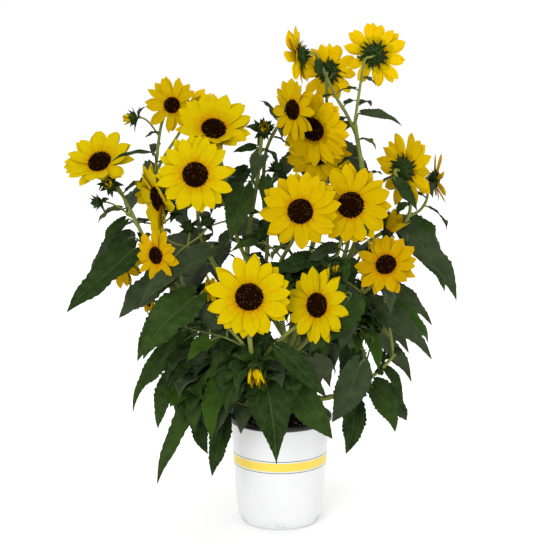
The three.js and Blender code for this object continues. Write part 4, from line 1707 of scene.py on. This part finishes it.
@dataclass
class OutlineLeaves:
    """Leaves that give the plant its outline: a seeded rule grows them to the tips of each mass.

    A leaf longer than `paired` has a smaller one beside it where the thickets have room. `fullness` is a
    blade's width as a share of its solid's.
    """

    shoots: Shoots
    reader: TipReader = TipReader()
    paired: float = 0.06
    fullness: float = 0.87
    seed: int = 29

    def grow(self, mass: str) -> int:
        """Grow a mass's outline leaves.

        Args:
            mass: The CAD node.

        Returns:
            How many leaves grew.
        """
        rng = np.random.default_rng([self.seed, sum(map(ord, mass))])
        grown = 0
        for found in self.reader.leaves(mass):
            self.leaf(replace(found, width=found.width * self.fullness), rng)
            grown += 1
            run = found.tip - found.base
            aside = unit(np.cross(run, found.over)) * found.width * rng.choice((-0.5, 0.5))
            start = found.base - found.over * 0.006 - run * 0.05
            end = start + run * rng.uniform(0.5, 0.75) + aside
            breadth = found.width * rng.uniform(0.5, 0.7)
            if np.linalg.norm(run) > self.paired and self.shoots.free(start, end, breadth):
                self.leaf(LeafTip(start, end, breadth, found.over), rng)
                grown += 1
        return grown

    def leaf(self, spec: LeafTip, rng: np.random.Generator) -> None:
        """Grow one leaf, its tone, arch, curl and bow drawn by the rule.

        Args:
            spec: Its place and width.
            rng: The source of its irregularity.
        """
        tone = deal_tone(OUTLINE_TONE_SHARES, rng)
        self.shoots.foliage.add(Leaf(
            spec.base, spec.tip, spec.width, spec.over, tone, arch=rng.uniform(0.04, 0.13),
            curl=rng.uniform(0.02, 0.14), sway=rng.normal(0, 0.03),
        ))


# ------------------------------------------------------------------ pot


WHITE, BLACK, YELLOW, GREEN = range(4)    # the pot's finishes, by number


@dataclass
class Pot:
    """A nursery pot: a black pot with a white printed outside, a rolled black lip and drain slots.

    `bands` says from which height up each printed colour runs. `slot_half` is half a slot's width as a
    share of the slots' spacing, `chamfer` is the foot's, and the inside is black from `black_from` up.
    """

    height: float = 0.1745
    rim: float = 0.0825
    lip_foot: float = 0.1678
    shoulder: float = 0.0788
    ankle: float = 0.0675
    ankle_height: float = 0.020
    foot: float = 0.059
    wall: float = 0.0018
    slots: int = 6
    slot_low: float = 0.0065
    slot_high: float = 0.0155
    slot_half: float = 0.09
    chamfer: float = 0.0008
    black_from: float = 0.05
    lip_roll: float = 0.0022
    columns: int = 144
    bands: tuple[tuple[float, int], ...] = (
        (0.098, GREEN), (0.0992, WHITE), (0.1010, YELLOW), (0.1150, WHITE), (0.1168, GREEN), (0.1180, WHITE))

    def outside(self, height: np.ndarray) -> np.ndarray:
        """The outside radius, up to the lip.

        Args:
            height: The heights.

        Returns:
            The radius at each.
        """
        heights = (0, 0.0015, 0.005, 0.012, self.ankle_height, 0.03, self.lip_foot)
        radii = (self.foot - self.chamfer, self.foot, self.foot + 0.0046, self.foot + 0.0072, self.ankle,
                 self.ankle + 0.0012, self.shoulder)
        return np.interp(height, heights, radii)

    def build(self) -> None:
        """Make the pot: its outside with the printed bands, and its lip, inside and underside."""
        sheaf = Sheaf("pot_shell", (Tint.POT_WHITE.value, Tint.POT_BLACK.value,
                                    Tint.BAND_YELLOW.value, Tint.BAND_GREEN.value))
        edges = dict(self.bands)
        heights = np.unique(np.concatenate([
            (0, 0.0015, 0.003, 0.005, self.slot_low, 0.009, 0.012, self.slot_high, 0.018,
             self.ankle_height, 0.024, 0.03),
            np.linspace(0.04, self.lip_foot, 14), list(edges)]))
        outer = np.stack([self.outside(heights), heights], -1)
        inner = np.stack([self.outside(heights) - self.wall, np.maximum(heights, self.wall)], -1)
        axes = Axes.facing(np.zeros(3), UP)
        turn = np.arange(self.columns) * self.slots / self.columns % 1
        open_column = np.abs(turn - 0.5) < self.slot_half
        open_row = (heights[:-1] >= self.slot_low - 1e-6) & (heights[1:] <= self.slot_high + 1e-6)
        keep = ~(open_row[:, None] & open_column[None, :]).ravel()
        band = WHITE
        tones = []
        for low in heights[:-1]:
            band = edges.get(round(float(low), 4), band)
            tones.append(band)
        points, faces = lathe(axes, outer, self.columns)
        sheaf.add(points, faces[keep], np.repeat(tones, self.columns)[keep])
        inside, faces = lathe(axes, inner, self.columns)
        lining = np.where(heights[:-1] > self.black_from, BLACK, WHITE)
        sheaf.add(inside, faces[:, ::-1], np.repeat(lining, self.columns))
        self.reveals(sheaf, points, inside, keep.reshape(len(heights) - 1, self.columns))
        self.lip(sheaf, axes)
        sheaf.piece("pot_wall", ["pot"])

    def reveals(self, sheaf: Sheaf, outer: np.ndarray, inner: np.ndarray, keep: np.ndarray) -> None:
        """Close the thickness of the wall round each slot.

        Args:
            sheaf: Where the faces go.
            outer: The outside's points.
            inner: The inside's points.
            keep: Which cells of the wall are solid.
        """
        rows, columns = np.nonzero(~keep)
        both = np.vstack([outer, inner])
        far = len(outer)
        faces = []
        for row, column in zip(rows, columns):
            after = (column + 1) % self.columns
            corner = {"a": row * self.columns + column, "b": row * self.columns + after,
                      "c": (row + 1) * self.columns + after, "d": (row + 1) * self.columns + column}
            for one, two, beside in (("a", "b", (row - 1, column)), ("c", "d", (row + 1, column)),
                                     ("b", "c", (row, after)), ("d", "a", (row, column - 1))):
                if keep[beside]:
                    faces.append((corner[one], corner[two], far + corner[two], far + corner[one]))
        sheaf.add(both, np.array(faces), WHITE)

    def lip(self, sheaf: Sheaf, axes: Axes) -> None:
        """Turn the rolled lip, the ledge inside it and the underside.

        Args:
            sheaf: Where it goes.
            axes: The pot's axes.
        """
        roll, neck = self.lip_roll, self.shoulder - 0.0012
        turn = np.linspace(-0.5, 1.0, 10) * math.pi
        top = np.stack([self.rim - roll + roll * np.cos(turn), self.height - roll + roll * np.sin(turn)], -1)
        under = np.array([(neck, self.lip_foot), (self.rim - 0.0006, self.lip_foot)])
        skirt = np.array([(self.rim, self.lip_foot + 0.0008), (self.rim, self.height - roll)])
        ledge = np.array([(self.rim - 2 * roll, self.height - 0.004), (neck, self.height - 0.0046),
                          (self.shoulder - 0.0022, self.height - 0.008),
                          (self.shoulder - self.wall, self.lip_foot)])
        profile = np.vstack([under, skirt, top[3:], ledge])
        sheaf.add(*lathe(axes, profile, self.columns), BLACK)
        base = np.array([(0.0, 0.0), (self.foot - self.chamfer, 0.0)])
        sheaf.add(*lathe(axes, base, self.columns), WHITE)
        floor = np.array([(0.0, self.wall), (self.foot - self.chamfer - self.wall, self.wall)])
        points, faces = lathe(axes, floor, self.columns)
        sheaf.add(points, faces[:, ::-1], BLACK)


@dataclass
class PottingMix:
    """The crumbly dark mix, with bark chips and white grit on it.

    `waist` and `foot` are the radius and height at which its side turns.
    """

    top: float = 0.1568
    radius: float = 0.0764
    drop: float = 0.004
    waist: tuple[float, float] = (0.0655, 0.022)
    foot: tuple[float, float] = (0.054, 0.0025)
    chips: int = 420
    rings: int = 30
    columns: int = 110
    seed: int = 5

    def build(self) -> None:
        """Make the crumbled surface down to the pot's floor, and the chips."""
        rng = np.random.default_rng(self.seed)
        sheaf = Sheaf("potting_mix_surface", (Tint.MIX.value, Tint.BARK.value, Tint.PERLITE.value))
        share = np.linspace(0.0, 1, self.rings) ** 0.8
        turn = np.arange(self.columns) * 2 * math.pi / self.columns
        rough = rng.normal(0, 0.0007, (self.rings, self.columns))
        height = self.top - self.drop * share[:, None] ** 2 + rough
        out = np.maximum(share * self.radius, 0.0004)[:, None] * np.ones(self.columns)
        points = np.stack([out * np.cos(turn), out * np.sin(turn), height], -1).reshape(-1, 3)
        sheaf.add(points, grid_faces(self.rings, self.columns, closed=True, flip=True))
        side = np.array([(self.radius, self.top - self.drop), self.waist, self.foot, (0.0004, self.foot[1])])
        sheaf.add(*lathe(Axes.facing(np.zeros(3), UP), side, 48))
        for _ in range(self.chips):
            self.chip(sheaf, rng)
        sheaf.piece("potting_mix", ["potting_mix"])

    def chip(self, sheaf: Sheaf, rng: np.random.Generator) -> None:
        """Drop one chip of bark or one grain of grit.

        Args:
            sheaf: Where it goes.
            rng: The source of its place and shape.
        """
        out = self.radius * 0.95 * math.sqrt(rng.random())
        turn = rng.random() * 2 * math.pi
        white = rng.random() < 0.2
        size = rng.uniform(0.0009, 0.0017) if white else rng.uniform(0.0015, 0.0042)
        stretch = (1, 1, 0.9) if white else (1.0, rng.uniform(0.35, 0.7), rng.uniform(0.15, 0.4))
        corners = np.array([(x, y, z) for x in (-1, 1) for y in (-1, 1) for z in (-1, 1)], float)
        corners = corners * rng.uniform(0.7, 1.1, (8, 3)) * stretch * size
        spin = np.linalg.qr(np.eye(3) + rng.normal(0, 0.35, (3, 3)))[0]
        yaw = rng.random() * 2 * math.pi
        flat = np.array(((math.cos(yaw), -math.sin(yaw), 0), (math.sin(yaw), math.cos(yaw), 0), (0, 0, 1)))
        place = (out * math.cos(turn), out * math.sin(turn),
                 self.top - self.drop * (out / self.radius) ** 2 + size * 0.2)
        faces = np.array(((0, 1, 3, 2), (4, 6, 7, 5), (0, 4, 5, 1),
                          (2, 3, 7, 6), (0, 2, 6, 4), (1, 5, 7, 3)))
        sheaf.add(corners @ spin.T @ flat.T + place, faces, 2 if white else 1)


# ------------------------------------------------------------------ studio


@dataclass
class Studio:
    """A plain pale floor, soft light all round, and the camera."""

    camera_at: tuple[float, float, float] = (0.0, -3.2, 1.108)
    aim: tuple[float, float, float] = (0.0, 0.0, 0.392)
    lens: float = 134.74
    sky: float = 1.03
    floor: float = 12.0

    def build(self) -> None:
        """Set the floor, the lights and the camera."""
        mesh = bpy.data.meshes.new("studio_floor")
        corners = [(x * self.floor, y * self.floor, 0) for x, y in ((-1, -1), (1, -1), (1, 1), (-1, 1))]
        mesh.from_pydata(corners, [], [(0, 1, 2, 3)])
        mesh.materials.append(Tint.FLOOR.value.material())
        floor = bpy.data.objects.new("studio_floor", mesh)
        bpy.context.scene.collection.objects.link(floor)
        world = bpy.data.worlds.new("studio_light")
        world.use_nodes = True
        sky = world.node_tree.nodes["Background"]
        sky.inputs["Color"].default_value = (1, 1, 1, 1)
        sky.inputs["Strength"].default_value = self.sky
        bpy.context.scene.world = world
        bpy.context.scene.view_settings.view_transform = "Standard"
        self.lamp("key", (-0.9, -3.0, 1.7), 1.2, 45)
        self.lamp("fill", (2.2, -2.2, 1.0), 1.8, 12)
        self.lamp("top", (0.3, -0.5, 3.2), 1.4, 16)
        self.lamp("back_left", (-1.8, 2.4, 2.2), 1.8, 16)
        self.lamp("back_right", (2.0, 2.0, 2.2), 1.8, 16)
        camera = bpy.data.cameras.new("camera")
        camera.sensor_width = 36
        camera.lens = self.lens
        camera.clip_end = 100
        seat = bpy.data.objects.new("camera", camera)
        seat.location = self.camera_at
        seat.rotation_euler = self.look(self.camera_at, self.aim)
        bpy.context.scene.collection.objects.link(seat)
        bpy.context.scene.camera = seat

    def lamp(self, name: str, at: tuple[float, float, float], size: float, watts: float) -> None:
        """Hang one soft square lamp, turned to the plant.

        Args:
            name: Its name.
            at: Where it hangs.
            size: Its side.
            watts: Its power.
        """
        light = bpy.data.lights.new(name, "AREA")
        light.size = size
        light.energy = watts
        lamp = bpy.data.objects.new(name, light)
        lamp.location = at
        lamp.rotation_euler = self.look(at, self.aim)
        bpy.context.scene.collection.objects.link(lamp)

    @staticmethod
    def look(at: Point, aim: Point) -> tuple[float, float, float]:
        """The turn that makes a lamp or camera look from one place to another."""
        x, y, z = np.subtract(aim, at)
        return (math.atan2(math.hypot(x, y), -z), 0.0, math.atan2(-x, y))


# ------------------------------------------------------------------ the plant put together


@dataclass(frozen=True)
class Mass:
    """How a mass of foliage grows: its joined piece, its twigs, and their shortest and longest leaf."""

    piece: str
    twigs: int = 0
    leaf: tuple[float, float] = (0.02, 0.03)


MASSES: dict[str, Mass] = {
    "foliage_far_left": Mass("leaves_left"),
    "foliage_upper_left": Mass("leaves_left"),
    "foliage_left_shoulder": Mass("leaves_left", 5, (0.035, 0.06)),
    "foliage_left_skirt": Mass("leaves_left", 16, (0.06, 0.1)),
    "foliage_front_skirt": Mass("leaves_front", 14, (0.055, 0.09)),
    "foliage_right_skirt": Mass("leaves_right"),
    "foliage_right_middle": Mass("leaves_right", 14, (0.04, 0.07)),
    "foliage_far_right": Mass("leaves_right"),
    "foliage_tall_fork": Mass("leaves_right"),
    "foliage_tall_cluster": Mass("leaves_rear"),
    "foliage_centre_upper": Mass("leaves_front"),
    "foliage_centre": Mass("leaves_front", 20, (0.045, 0.075)),
    "foliage_rear_left": Mass("leaves_rear", 34, (0.05, 0.09)),
    "foliage_rear_right": Mass("leaves_rear", 34, (0.05, 0.09)),
}


def main() -> None:
    """Build the pot, the stems, the heads, the buds, the leaves and the studio."""
    logging.basicConfig(level=logging.INFO, format="%(name)s %(message)s")
    heads = [Head.from_node(name, *kinds) for name, kinds in HEAD_KINDS.items()]
    Pot().build()
    PottingMix().build()
    skeleton = Skeleton()
    Stems(skeleton, {head.name: head for head in heads}).build()
    small = small_heads()
    borne = {limb.bears for limb in LIMBS.values()}
    HeadStalks(skeleton, [head for head in heads if head.name not in borne] + small).build()
    FlowerHeads(heads + small, set(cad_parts)).build()
    foliage = Foliage(skeleton)
    Buds(skeleton, foliage).build()
    studio = Studio()
    low, high = (np.array(corner) for corner in CAD_BOX)
    shoots = Shoots(skeleton, foliage, np.array(studio.camera_at), low, high)
    outline = OutlineLeaves(shoots)
    for mass in MASSES:
        LOG.info("%s: %d outline leaves", mass, outline.grow(mass))
    rng = np.random.default_rng(shoots.seed)
    boughs = skeleton.points[:len(LIMBS)]
    LOG.info("boughs: %d small leaves", sum(shoots.climb(path, rng) for path in boughs))
    for name, mass in MASSES.items():
        LOG.info("%s: %d leaves on twigs", name, shoots.fill(name, mass.twigs, mass.leaf))
    foliage.build({piece: [name for name, mass in MASSES.items() if mass.piece == piece]
                   for piece in foliage.blades})
    studio.build()


if __name__ == "__main__":
    main()
